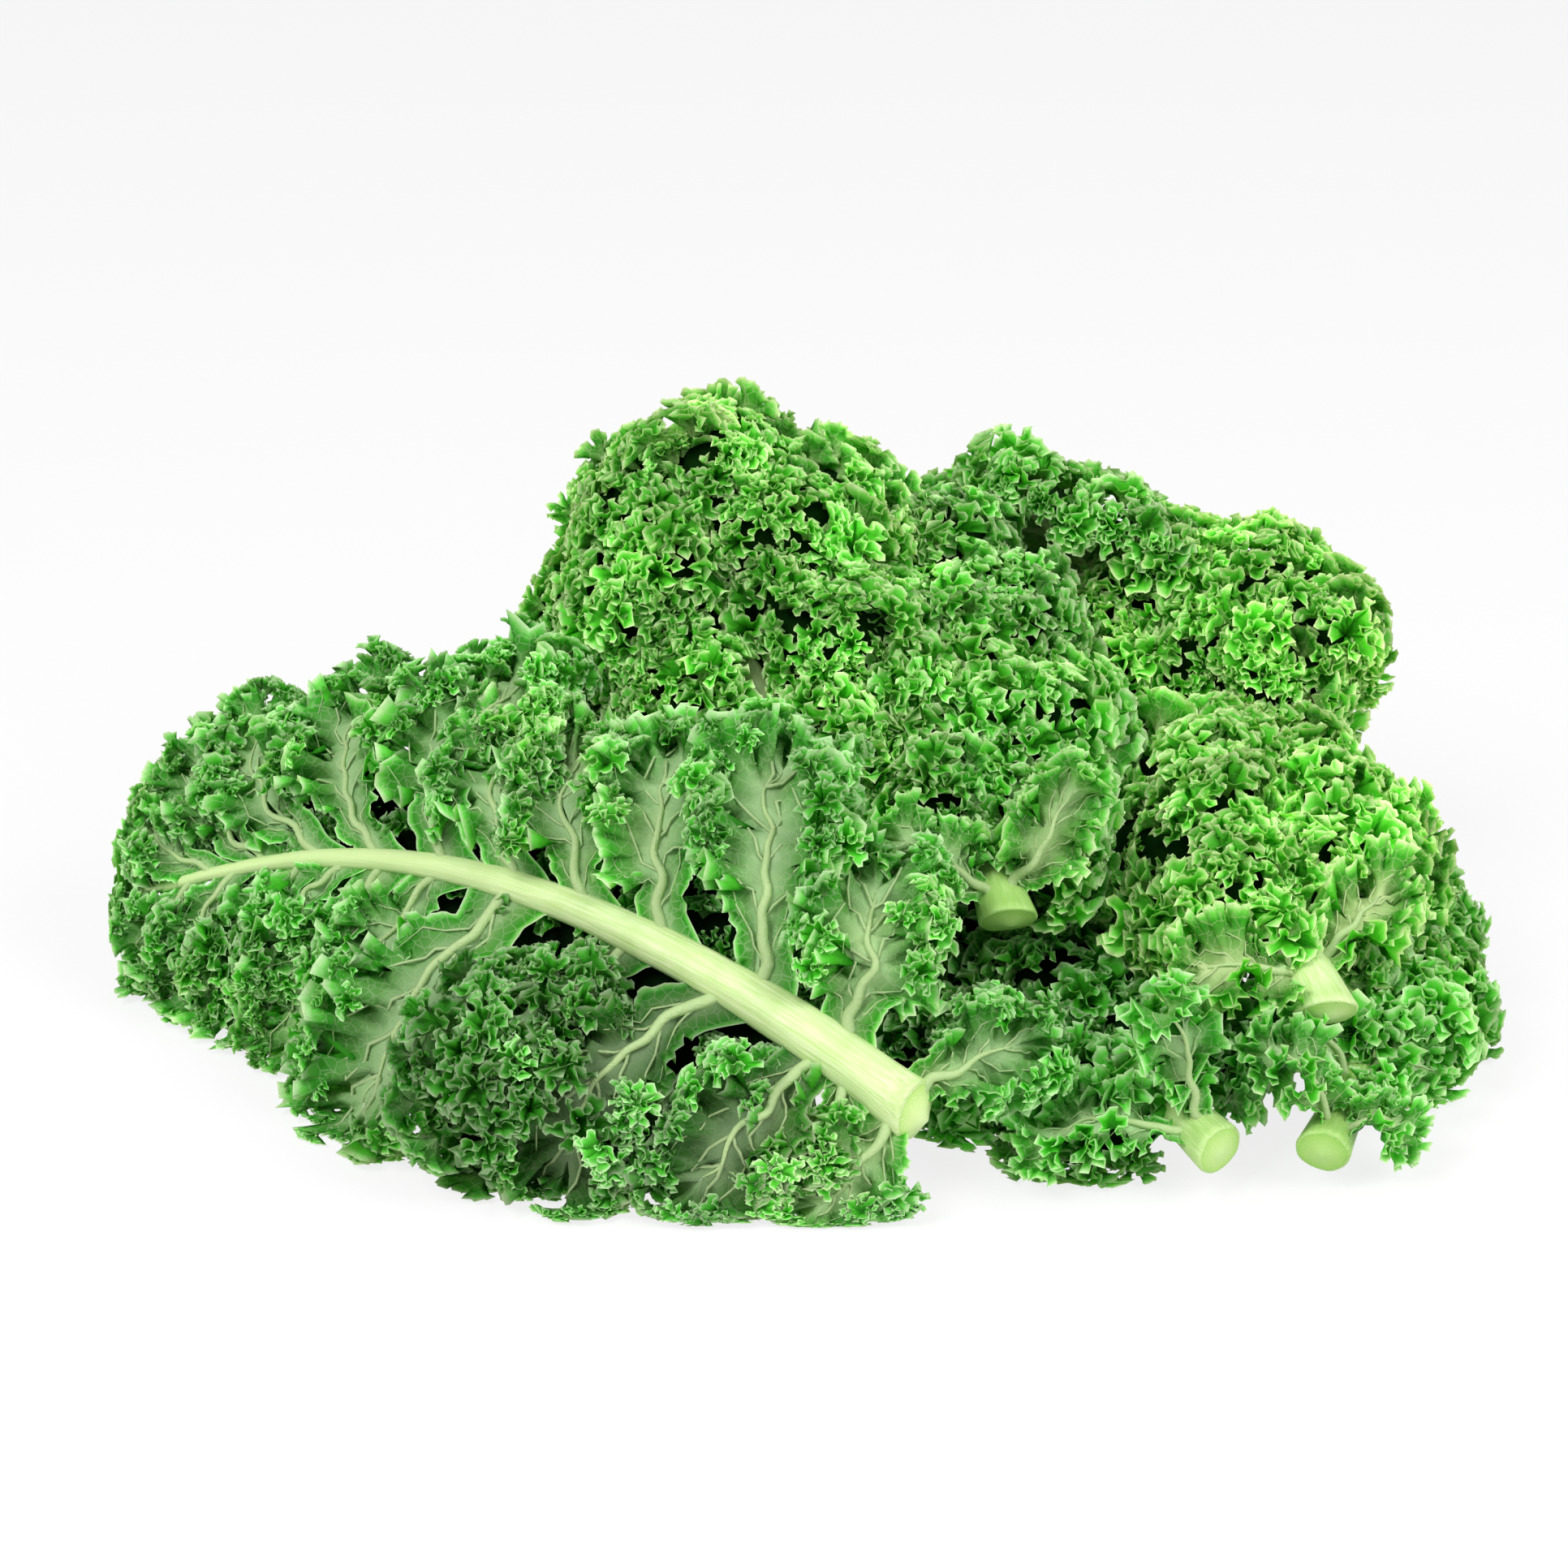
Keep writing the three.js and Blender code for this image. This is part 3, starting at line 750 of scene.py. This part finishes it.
# Tufts are the smallest folds: a fan of flesh gathered at its base, whose margin is so long that
# it runs in and out in tight folds, as a carnation's does. Some kinds of them are made, and a node
# tree sets them out at the places given, each turned its own way.
TUFT_KINDS = 16
TUFT_ROWS = (0.0, 0.35, 0.65, 0.87, 1.0)  # the rows of points, from its base to its margin
TUFT_POINTS = (7, 13, 25, 49, 97)  # the points in each row
TUFT_RADIUS = 10.0  # mm
TUFT_TALL = 9.0  # mm
TUFT_RUFFLE = (6.6, 1.5, 1.6, 0.5)
TUFT_TEETH = (3.6, 0.35)


def tuft(name, rng):
    """One kind of tuft, standing on its base."""
    t = np.linspace(0, 1, TUFT_POINTS[-1])
    folds = rng.integers(5, 10)
    spread = np.radians(rng.uniform(300, 400))
    fold = 2 * np.pi * folds * t + 1.1 * noise_along(t * folds, 3.1, rng)
    inwards = rng.uniform(0.24, 0.36) * (1 + 0.35 * noise_along(t * folds, 2.3, rng))
    reach = TUFT_RADIUS * (1 - inwards + inwards * np.sin(fold))
    reach *= 1 + 0.15 * noise_along(t * 3, 1.0, rng)
    turn = spread * (t - 0.5) - 0.1 * np.sin(2 * fold) + 0.06 * np.cos(fold + 0.7)
    rise = 1 - 0.35 * (reach / TUFT_RADIUS) ** 2 + 0.2 * noise_along(t * folds, 1.7, rng)
    rise = TUFT_TALL * rise
    edge = np.stack([reach * np.cos(turn), reach * np.sin(turn), rise], 1)
    share = np.array(TUFT_ROWS)[:, None]
    open_by, high = 0.04 + 0.96 * share ** 1.3, share ** 0.85
    sheet = np.stack([edge[:, 0] * open_by, edge[:, 1] * open_by, edge[:, 2] * high], 2)
    sheet = ruffled(sheet, TUFT_ROWS, rng, (TUFT_RUFFLE,), TUFT_TEETH)
    points, faces, rim = knitted(sheet, TUFT_ROWS, TUFT_POINTS)
    mesh = mesh_from(name, points - HEAP_SHIFT, faces, [], rim=0.2 + 0.8 * rim)
    return bpy.data.objects.new(name, mesh)


tuft_rng = np.random.default_rng(11)
tuft_box = bpy.data.collections.new("tufts")
for number in range(TUFT_KINDS):
    tuft_box.objects.link(tuft(f"tuft_{number}", tuft_rng))


def tuft_tree():
    """Puts a tuft on each point, along its facing and turned at random, on the flesh if given."""
    tree = bpy.data.node_groups.new("Frilled tufts", "GeometryNodeTree")
    face = tree.interface
    for name, kind, value in (("Geometry", "Geometry", None), ("Tufts", "Collection", None),
                              ("Flesh", "Object", None), ("Finish", "Material", None),
                              ("Lean", "Float", 0.35), ("Young", "Float", 0.0), ("Seed", "Int", 1)):
        socket = face.new_socket(name, in_out="INPUT", socket_type="NodeSocket" + kind)
        if value is not None:
            socket.default_value = value
    face.new_socket("Geometry", in_out="OUTPUT", socket_type="NodeSocketGeometry")
    given = add_node(tree, "NodeGroupInput").outputs

    def result(kind, inputs=(), **settings):
        return add_node(tree, kind, inputs, **settings).outputs[0]

    def stored(name, value, geometry, domain):
        return result("GeometryNodeStoreNamedAttribute", {
            "Geometry": geometry, "Name": name, "Value": value}, data_type="FLOAT", domain=domain)

    facing = result("GeometryNodeInputNamedAttribute", {"Name": "facing"}, data_type="FLOAT_VECTOR")
    size = result("GeometryNodeInputNamedAttribute", {"Name": "size"}, data_type="FLOAT")
    up = result("FunctionNodeAlignRotationToVector", {"Vector": facing}, axis="Z")
    spin = result("FunctionNodeRandomValue", {
        0: (-1, -1, -math.pi), 1: (1, 1, math.pi), "Seed": given["Seed"]}, data_type="FLOAT_VECTOR")
    parts = add_node(tree, "ShaderNodeSeparateXYZ", {0: spin}).outputs
    lean_x, lean_y = (times(tree, parts[axis], given["Lean"]) for axis in (0, 1))
    angles = result("ShaderNodeCombineXYZ", {0: lean_x, 1: lean_y, 2: parts[2]})
    local = result("FunctionNodeEulerToRotation", {0: angles})
    turned = result("FunctionNodeRotateRotation", {0: up, 1: local}, rotation_space="LOCAL")
    box = result("GeometryNodeCollectionInfo", {
        "Collection": given["Tufts"], "Separate Children": True, "Reset Children": True})
    points = result("GeometryNodeMeshToPoints", {"Mesh": given["Geometry"]})
    placed = result("GeometryNodeInstanceOnPoints", {
        "Points": points, "Instance": box, "Pick Instance": True,
        "Rotation": turned, "Scale": size})
    shade = add_node(tree, "FunctionNodeRandomValue", {"Seed": given["Seed"]}, data_type="FLOAT")
    toned = stored("tone", shade.outputs[1], placed, "INSTANCE")
    real = result("GeometryNodeRealizeInstances", {0: toned})
    base = add_node(tree, "GeometryNodeObjectInfo", {"Object": given["Flesh"]}).outputs["Geometry"]
    joined = add_node(tree, "GeometryNodeJoinGeometry")
    tree.links.new(base, joined.inputs[0])
    tree.links.new(real, joined.inputs[0])
    whole = result("GeometryNodeRealizeInstances", {0: joined.outputs[0]})
    aged = stored("young", given["Young"], whole, "POINT")
    finish = result("GeometryNodeSetMaterial", {"Geometry": aged, "Material": given["Finish"]})
    add_node(tree, "NodeGroupOutput", {0: finish})
    return tree


TUFT_TREE = tuft_tree()
BLADE_END = 0.96  # where the blade stops, as a share of the midrib
RIM_THICK = 5.0  # mm that it is thick at its edges, with its frills


def pad_shape(leaf, u, v):
    """Where the leaf's back is at u along the blade and v across it, and its depth there."""
    start = leaf["start"]
    at, along, across, out = leaf_frames(leaf, start + (BLADE_END - start) * u)
    low, high = leaf["sweep"]
    angle = np.radians(low + (high - low) * u ** 1.5)[..., None]
    phase = 2 * np.pi * leaf["lobes"] * u
    notch = 1 - leaf["notch"] * (0.5 + 0.5 * np.cos(phase)) ** 2
    width = np.sin(np.pi * (0.16 + 0.62 * u)) * (1 - 0.28 * u ** 4) * (1 - leaf["taper"] * u ** 5)
    reach = leaf["reach"] * width * notch
    side = np.sign(v)
    rib = across * side[..., None] * np.sin(angle) + along * np.cos(angle)
    base = at + rib * (np.abs(v) * reach)[..., None]
    ripple = leaf["wave"] * v * v * np.sin(phase + 1.3 * side + 2 * v)
    base = base + out * (ripple - leaf["droop"] * v * v)[..., None]
    rise = np.minimum(1, 0.45 + 3 * np.minimum(u, 1 - u))
    depth = RIM_THICK + (leaf["depth"] - RIM_THICK) * (1 - v ** 4) * rise
    return base, out, depth


def closed_flesh(flesh, back, skin, back_tone, skin_shade=0.0):
    """The thick of a blade: a closed body between its pale back and its frilled side, which is
    painted dark as shade.
    """
    rows, n = skin.shape[:2]
    i, j = np.meshgrid(np.arange(rows - 1), np.arange(n - 1), indexing="ij")
    a = (i * n + j).ravel()
    faces = split_patches(a, a + 1, a + n + 1, a + n)
    skin, back = skin.reshape(-1, 3), back.reshape(-1, 3)
    flesh.add(skin, faces[:, ::-1], tone=skin_shade)
    flesh.add(back, faces, rim=0.35, tone=back_tone, under=1.0)
    loop = np.concatenate([
        np.arange(n), np.arange(1, rows) * n + n - 1,
        (rows - 1) * n + np.arange(n - 2, -1, -1), np.arange(rows - 2, 0, -1) * n])
    m = len(loop)
    k, after = np.arange(m), (np.arange(m) + 1) % m
    band = split_patches(k, after, after + m, k + m)
    flesh.add(np.vstack([skin[loop], back[loop]]), band, rim=0.6, tone=0.4)


# What a leaf rests on holds its frills back: the table, and at the heap's ends their own stiffness.
BOX_LOW, BOX_HIGH = (np.array(corner) / MM for corner in cad_box)
ROOM_ASIDE = 9.0  # mm that frills may reach past the solid leaves
ROOM_BELOW = 0.2  # mm that they keep clear of the table
GIVE_ASIDE, GIVE_BELOW = 7.0, 6.0  # mm over which they are eased back


def held_back(values, wall, give):
    """Eases values that come near a wall below them to just short of it."""
    near = values < wall + give
    values[near] = wall + give * np.exp((values[near] - wall - give) / give)
    return values


def settle(mesh):
    """Presses a mesh's lowest frills against the table and draws in those that stray sideways."""
    count = len(mesh.vertices)
    spots = np.empty(count * 3, np.float32)
    mesh.vertices.foreach_get("co", spots)
    spots = spots.reshape(-1, 3).astype(float) / MM
    for axis in range(3):
        low = ROOM_BELOW if axis == 2 else BOX_LOW[axis] - ROOM_ASIDE
        spots[:, axis] = held_back(spots[:, axis], low, GIVE_BELOW if axis == 2 else GIVE_ASIDE)
        spots[:, axis] = -held_back(-spots[:, axis], -BOX_HIGH[axis] - ROOM_ASIDE, GIVE_ASIDE)
    mesh.vertices.foreach_set("co", (spots * MM).astype(np.float32).ravel())
    mesh.update()


def frilled(name, flesh, tufts, young, seed):
    """Sets the tufts out on a blade's flesh and turns the whole into one plain mesh."""
    places = mesh_from(
        name + "_places", np.array([t[0] for t in tufts]), np.empty((0, 3), int), [],
        facing=np.array([t[1] for t in tufts]), size=np.array([t[2] for t in tufts]))
    holder = bpy.data.objects.new(name + "_tufts", places)
    scene.collection.objects.link(holder)
    spread = holder.modifiers.new("tufts", "NODES")
    spread.node_group = TUFT_TREE
    given = {"Tufts": tuft_box, "Finish": LEAF_FINISH, "Lean": 0.55, "Young": young, "Seed": seed}
    if flesh:
        given["Flesh"] = bpy.data.objects.new(name + "_flesh", flesh.mesh(name + "_flesh"))
        scene.collection.objects.link(given["Flesh"])
    for item in TUFT_TREE.interface.items_tree:
        if item.in_out == "INPUT" and item.name in given:
            spread[item.identifier] = given[item.name]
    evaluated = holder.evaluated_get(bpy.context.evaluated_depsgraph_get())
    mesh = bpy.data.meshes.new_from_object(evaluated)
    mesh.name = name
    bpy.data.objects.remove(holder)
    if flesh:
        bpy.data.objects.remove(given["Flesh"])
    settle(mesh)
    return mesh


# Where the leaf's face has rolled up through the gap between two lobes, its frills are a bunch.
BUNCH_AT, BUNCH_OUT = 0.346, (13, 46, 2)  # its share of the midrib, and mm from there
BUNCH_RADII = (27, 30, 13)  # mm along, across and out
BUNCH_TUFTS = 34
BUNCH_TURN = 2.39996  # radians from each tuft to the next, so that none lie in rows
LOW_FRILLS = 190  # in the gaps between the lobes
FACE_FRILLS = 110  # on the leaf's frilled face, towards the table

front_rng = np.random.default_rng(7)
front_flesh, front_tufts = Flesh(), []
for lobe in FRONT_LOBES:
    add_lobe(front_flesh, FRONT, lobe, front_rng, front_tufts)

# Its frilled side is turned to the table, and is seen between the lobes as a dark mass: painted
# shade darkens its flesh and frills.
u, v = np.meshgrid(np.linspace(0.03, 0.97, 49), np.linspace(-0.82, 0.82, 25), indexing="ij")
below, out, _ = pad_shape(FRONT, u, v)
lumps = 1.6 * np.sin(40 * u + 3 * np.sin(7 * v)) * np.cos(9 * v + 2 * np.sin(11 * u))
closed_flesh(front_flesh, below - out * 9, below + out * (lumps[..., None] - 6), 0.2, -0.8)
face_tufts = []
for k in range(LOW_FRILLS + FACE_FRILLS):
    u, v = front_rng.uniform(0.04, 0.96), front_rng.choice([-1, 1]) * front_rng.uniform(0.06, 0.9)
    below, out, _ = (value[0] for value in pad_shape(FRONT, np.array([u]), np.array([v])))
    if k < LOW_FRILLS:
        look = unit(out + front_rng.normal(0, 0.5, 3))
        deep = front_rng.uniform(1, 4) + (3 if abs(v) < 0.25 else 0)
        face_tufts.append((below - out * deep, look, front_rng.uniform(0.5, 0.75)))
    else:
        look = unit(front_rng.normal(0, 0.3, 3) - out)
        face_tufts.append((below - out * 8, look, front_rng.uniform(0.9, 1.2)))

at, along, across, out = frame_at(FRONT, BUNCH_AT)
bunch_middle = at + along * BUNCH_OUT[0] + across * BUNCH_OUT[1] + out * BUNCH_OUT[2]
for k in range(BUNCH_TUFTS):
    ring, spin = ((k + 0.5) / BUNCH_TUFTS) ** 0.5, k * BUNCH_TURN
    local = np.array([ring * math.cos(spin), ring * math.sin(spin), (1 - ring ** 2) ** 0.5])
    spot = sum(l * r * a for l, r, a in zip(local, BUNCH_RADII, (along, across, out)))
    spot = bunch_middle + spot * (1 + 0.5 * noise.noise(Vector(spot / 14)))
    look = unit(along * local[0] + across * local[1] + out * (local[2] + 0.2))
    face_tufts.append((spot, look, front_rng.uniform(0.7, 1.0)))
front_mesh = front_flesh.mesh("front_blade")
settle(front_mesh)
add_piece("front_blade", front_mesh, "front_leaf_blade")
front_frills = frilled("front_frills", None, front_tufts, 0.0, 3)
add_piece("front_frills", front_frills, "front_leaf_blade")
# the frills on the face towards the table are darkened with painted shade
front_face = frilled("front_face", None, face_tufts, -0.33, 4)
add_piece("front_face", front_face, "front_leaf_blade")


# ---- The tall leaf ----
# A big leaf that leans back behind the front one, tip up and face out: its midrib lies deep in a
# valley between two banks of frills, darkened with painted shade. Its stalk and blade are one
# living piece.
TALL = dict(
    LEAF, name="tall", stalk=7, start=0.24, reach=70, depth=32, droop=24, notch=0.2,
    sweep=(95, 36), taper=0.4, groove=0.09, outward=(-0.16, -0.72, 0.68),
    route=[(36, -44, 28), (15, -14, 62), (-7, 16, 98), (-24, 42, 130), (-34, 62, 160)],
)
TUFT_TRIES = 7000  # places tried for tufts on each leaf
HOLLOW = -0.5  # tufts clump, from -1 to 1, and are smaller in hollows lower than this
FRILL_ROOTS = 4.0  # mm from the tufts' gathered ends down to the closed flesh
SKIN_SHARE = 0.5  # how much of the leaf's depth is solid flesh, under its frills
BLADES = {name: node.data for name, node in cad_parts.items() if name.endswith("_blade")}
SOLIDS = {name: BVHTree.FromPolygons([v.co for v in blade.vertices],
                                     [p.vertices for p in blade.polygons])
          for name, blade in BLADES.items()}


def inside(solid, spot):
    """Whether a spot lies in a closed solid, by how many of its walls are above it."""
    walls, up = 0, Vector((0.12, 0.21, 0.97)).normalized()
    while True:
        hit = solid.ray_cast(spot, up)[0]
        if hit is None:
            return walls % 2 == 1
        walls += 1
        spot = hit + up * 1e-6


def buried(point, own, deep):
    """Whether a point lies more than so many mm deep in another leaf's solid."""
    spot = Vector(((point + HEAP_SHIFT) * MM).tolist())
    return any(inside(solid, spot) and solid.find_nearest(spot)[3] > deep * MM
               for name, solid in SOLIDS.items() if name != own)


def skin_height(leaf, u, v, depth):
    """How far a leaf's closed flesh stands off its back: lumpy, and low along the midrib."""
    valley = 1 - 0.75 * np.exp(-(v / 0.16) ** 2)
    lumps = 1 + 0.22 * np.sin(2 * np.pi * leaf["lobes"] * u + 2.4 * np.pi * np.abs(v)) * np.abs(v)
    return depth * SKIN_SHARE * valley * lumps


def banked_flesh(leaf):
    """A face-up leaf's closed flesh, between its veined back and its banks of frills."""
    rows, cols = leaf["lobes"] * 12 + 1, 33
    u, v = np.meshgrid(np.linspace(0, 1, rows), np.linspace(-1, 1, cols), indexing="ij")
    base, out, depth = pad_shape(leaf, u, v)
    skin = base + out * np.maximum(skin_height(leaf, u, v, depth) - FRILL_ROOTS, 1.5)[..., None]
    rough = [noise.noise(Vector(p / 5)) * 2.2 for p in skin.reshape(-1, 3)]
    skin = skin + out * (np.reshape(rough, (rows, cols)) * (np.abs(v) < 1))[..., None]
    puff = 0.7 * np.sin(2 * np.pi * leaf["lobes"] * 4 * u + 5 * np.abs(v))
    back = base + out * (0.4 + puff * np.abs(v))[..., None]
    flesh = Flesh()
    closed_flesh(flesh, back, skin, 0.6)
    for row in np.linspace(0.06, 0.94, leaf["lobes"] * 2 + 1):
        for side in (-1, 1):
            v = np.linspace(0, 0.93, 12)
            base, out, _ = pad_shape(leaf, np.full(12, row) + 0.05 * v, side * v)
            girths = np.linspace(0.24, 0.06, 12) * leaf["stalk"]
            flesh.add(*vein_tube(base - out * 0.2, girths, -out, 6), tone=0.6, under=1.0, vein=0.8)
    return flesh


def bank_tufts(leaf, rng, spacing, sizes):
    """The tufts of a face-up leaf, at least so far apart, and none deep in a neighbour."""
    own = leaf["name"] + "_leaf_blade"
    u, v = rng.uniform(0, 1, TUFT_TRIES), rng.uniform(-1, 1, TUFT_TRIES)
    spots = []
    for du, dv in ((0, 0), (0.02, 0), (0, 0.04)):
        uu, vv = u + du * np.where(u > 0.5, -1, 1), v - dv * np.where(v > 0, 1, -1)
        base, out, depth = pad_shape(leaf, uu, vv)
        spots.append(base + out * skin_height(leaf, uu, vv, depth)[:, None])
    spot = spots[0]
    normal = unit(np.cross(spots[1] - spot, spots[2] - spot))
    normal *= np.where((normal * out).sum(1) < 0, -1, 1)[:, None]
    outwards = unit(spot - spots[2])
    forward = leaf_frames(leaf, leaf["start"] + u * (BLADE_END - leaf["start"]))[1]
    ends = np.clip(1 - np.minimum(u, 1 - u) / 0.07, 0, 1) * np.where(u > 0.5, 1, -1)
    look = unit(normal + (1.3 * np.abs(v) ** 5)[:, None] * outwards + ends[:, None] * forward
                + rng.normal(0, 0.3, (TUFT_TRIES, 3)))
    clump = np.array([noise.noise(Vector(p / 19)) for p in spot])
    kept, tufts = np.empty((0, 3)), []
    for k in range(TUFT_TRIES):
        if len(kept) and np.min(np.linalg.norm(kept - spot[k], axis=1)) < spacing:
            continue
        kept = np.vstack([kept, spot[k]])
        in_groove = abs(v[k]) < leaf["groove"] and u[k] < 0.85
        if in_groove or buried(spot[k] + look[k] * 5, own, 10):
            continue
        size = rng.uniform(*sizes) * (1 + 0.35 * clump[k])
        if clump[k] < HOLLOW or abs(v[k]) < 0.1:
            size *= 0.8
        tufts.append((spot[k] + normal[k] * (5 * clump[k] + rng.uniform(-1, 1)), look[k], size))

    def edge_tuft(u, v, height, way, turns, sizes):
        """A tuft at the blade's edge that looks outwards, turned a little up or down."""
        base, out, depth = pad_shape(leaf, np.array(u), np.array(v))
        outwards = unit(base[0] - base[1])
        spot = base[0] + out[0] * depth[0] * height - outwards * 2
        look = unit(outwards + way * out[0] * rng.uniform(*turns))
        if not buried(spot + look * 5, own, 5):
            tufts.append((spot, look, rng.uniform(*sizes)))

    for share in np.linspace(0.01, 0.99, int(leaf["reach"] * 0.3)):
        for side in (-1, 1):
            edge_tuft((share, share), (side, side * 0.9), 0.25, -1, (0.1, 0.9), (0.6, 0.85))
    for share in np.linspace(-0.9, 0.9, int(leaf["reach"] * 0.2)):
        edge_tuft((1.0, 0.95), (share, share), 0.3, 1, (-0.2, 0.9), (0.7, 0.95))
    for share in leaf["cover"]:
        at, _, across, out = frame_at(leaf, share)
        for side in (-6, 0, 6):
            look = unit(out + across * side * 0.1 + rng.normal(0, 0.25, 3))
            spot = at + across * side + out * (leaf["stalk"] * 0.8)
            tufts.append((spot, look, rng.uniform(0.6, 0.8)))
    return tufts


def whole_leaf(leaf, seed, spacing=7.1, sizes=(0.85, 1.15), young=0.0):
    """A leaf's stalk and blade, with its tufts so many mm apart and of such sizes."""
    rng = np.random.default_rng(seed)
    name = leaf["name"]
    add_piece(name + "_stalk", stalk_mesh(leaf, STALK_FINISH, seed), name + "_leaf_stalk")
    flesh, tufts = banked_flesh(leaf), bank_tufts(leaf, rng, spacing, sizes)
    for lobe in leaf["collar"]:
        vein = add_lobe(flesh, leaf, lobe, rng)
        tufts = [t for t in tufts
                 if np.linalg.norm(vein[25:] - t[0], axis=1).min() > lobe["wide"] * 0.75]
    mesh = frilled(name + "_blade", flesh, tufts, young, seed)
    add_piece(name + "_blade", mesh, name + "_leaf_blade")


whole_leaf(TALL, 21, spacing=6.4, sizes=(0.78, 1.02), young=0.5)


# ---- The centre leaf ----
# It lies face up across the middle of the heap and rests on the tall leaf and the low leaf. Its
# stalk was cut off with a knife, and shows pale wet flesh towards the front.
CENTRE = dict(
    LEAF, name="centre", stalk=8, start=0.1, reach=56, droop=16, notch=0.25, sweep=(78, 38),
    green=0.8, slant=(0.1, -0.3), outward=(0.05, -0.7, 0.71),
    route=[(64, -64, 60), (58, -34, 70), (52, 2, 84), (45, 38, 107), (37, 70, 132)],
    # its two lowest lobes stand up on either side of the cut end and show their backs
    collar=[
        lobe_at(0.060, (4, 9), 12, -4, (2, -7, 11), (5, -14, 22), (7, -22, 31), lean=0.8),
        lobe_at(0.060, (4, 9), 12, -4, (2, 8, 9), (5, 16, 17), (8, 26, 23), lean=0.8),
    ],
)
whole_leaf(CENTRE, 22, young=0.2)


# ---- The right leaf ----
# A light green leaf that lies face up over the side leaf, crisp and tightly frilled. It slants
# down to the front right, where its thick stalk was cut off.
RIGHT = dict(
    LEAF, name="right", stalk=8.6, reach=56, depth=24, notch=0.25, sweep=(82, 40), green=0.15,
    slant=(0.15, -0.2), outward=(0.16, -0.62, 0.77),
    route=[(153, -82, 40), (146, -58, 50), (143, -24, 59), (146, 10, 67), (150, 34, 72)],
    # two broad lobes lie along the bare part of the stalk
    collar=[
        lobe_at(0.120, (8, 12), 15, 3, (2, 9, 5), (4, 20, 8), (4, 31, 6)),
        lobe_at(0.160, (8, 12), 14, 3, (4, -9, 5), (10, -19, 8), (16, -29, 7)),
    ],
)
whole_leaf(RIGHT, 23, young=0.7)


# ---- The ridge leaf ----
# A small, light green leaf that lies face up across the back right of the heap. It rests on the
# back leaf, and its stalk goes down inside the heap.
RIDGE = dict(
    LEAF, name="ridge", reach=44, depth=28, droop=16, notch=0.2, wave=3, sweep=(85, 45),
    outward=(0.1, -0.6, 0.79),
    route=[(66, 66, 56), (96, 70, 80), (126, 70, 95), (152, 62, 96), (170, 52, 88)],
)
whole_leaf(RIDGE, 24, spacing=6.5, sizes=(0.8, 1.05), young=0.75)


# ---- The low leaf ----
# A long leaf that lies flat on the table under the centre leaf, with its cut end at the front.
# Beside the cut its lowest lobes are loose, thin flesh.
LOW = dict(
    LEAF, name="low", stalk=7.4, start=0.1, reach=54, depth=24, droop=10, notch=0.3,
    sweep=(80, 45), green=0.5, slant=(-0.15, 0.1), outward=(-0.1, -0.45, 0.89),
    route=[(121, -112, 15), (108, -90, 18), (90, -62, 18),
           (65, -34, 17), (36, -8, 15), (8, 14, 13)],
    # a long lobe stands up behind the cut end
    collar=[
        lobe_at(0.050, (4, 7), 11, -3, (5, -2, 15), (7, -3, 29), (8, -1, 43), lean=2.5),
        lobe_at(0.060, (4, 7), 12, 4, (6, 12, 7), (14, 24, 11), (20, 36, 10)),
    ],
)
whole_leaf(LOW, 25, spacing=8.2, sizes=(0.85, 1.4), young=-0.04)


# ---- The side leaf ----
# It lies at the right end of the heap, on the table and half under the right leaf. Its blade
# begins far up the stalk, and only small lobes and a few frills lie over the bare end.
SIDE = dict(
    LEAF, name="side", stalk=7.4, start=0.32, reach=42, droop=12, wave=3, sweep=(80, 45),
    green=0.8, slant=(-0.2, 0.1), outward=(0.45, -0.3, 0.84),
    route=[(148, -110, 13), (160, -80, 17), (170, -44, 24), (178, -6, 31), (180, 30, 34)],
    cover=(0.13, 0.18, 0.23, 0.28, 0.33),
    # small lobes lie over the cut end
    collar=[
        lobe_at(0.070, (6, 12), 12, 3, (0, 8, 8), (1, 17, 12), (2, 26, 12)),
        lobe_at(0.070, (6, 8), 8, 3, (3, -4, 8), (7, -9, 10), (12, -14, 8)),
        lobe_at(0.220, (12, 12), 13, 3, (3, 9, 6), (6, 18, 8), (8, 27, 7)),
        lobe_at(0.240, (8, 8), 9, 3, (8, -5, 6), (13, -10, 8), (18, -15, 7)),
    ],
)
whole_leaf(SIDE, 26, young=0.1)


# ---- The under leaf ----
# A small leaf, face up on the table, that carries the front leaf, darkened with painted shade.
# No more is seen of it than the frills in the gaps between the front leaf's lobes.
UNDER = dict(
    LEAF, name="under", start=0.25, reach=44, depth=30, droop=10, lobes=3, notch=0.2, wave=3,
    sweep=(85, 45), outward=(-0.1, -0.62, 0.78),
    route=[(22, -30, 9), (-14, -46, 12), (-46, -60, 14), (-72, -72, 15), (-92, -80, 14)],
)
whole_leaf(UNDER, 27, spacing=8.6, young=-0.2)


# ---- The two leaves at the back ----
# They lean in from behind with their cut ends on the table and hold up the tall leaf and the
# ridge leaf. From the front only the right one's frills show, over the ridge leaf.
BACK = dict(
    LEAF, name="back", stalk=6.5, outward=(0.25, 0.72, 0.65),
    route=[(150, 122, 2), (134, 120, 42), (112, 112, 82), (88, 106, 112), (68, 103, 130)],
)
REAR = dict(
    LEAF, name="rear", stalk=6.5, start=0.18, reach=58, droop=16, outward=(-0.25, 0.72, 0.65),
    route=[(58, 122, 2.8), (36, 116, 40), (8, 106, 70), (-24, 96, 88), (-52, 84, 92)],
)
whole_leaf(BACK, 28, spacing=8.4, young=0.25)
whole_leaf(REAR, 29, spacing=8.6)
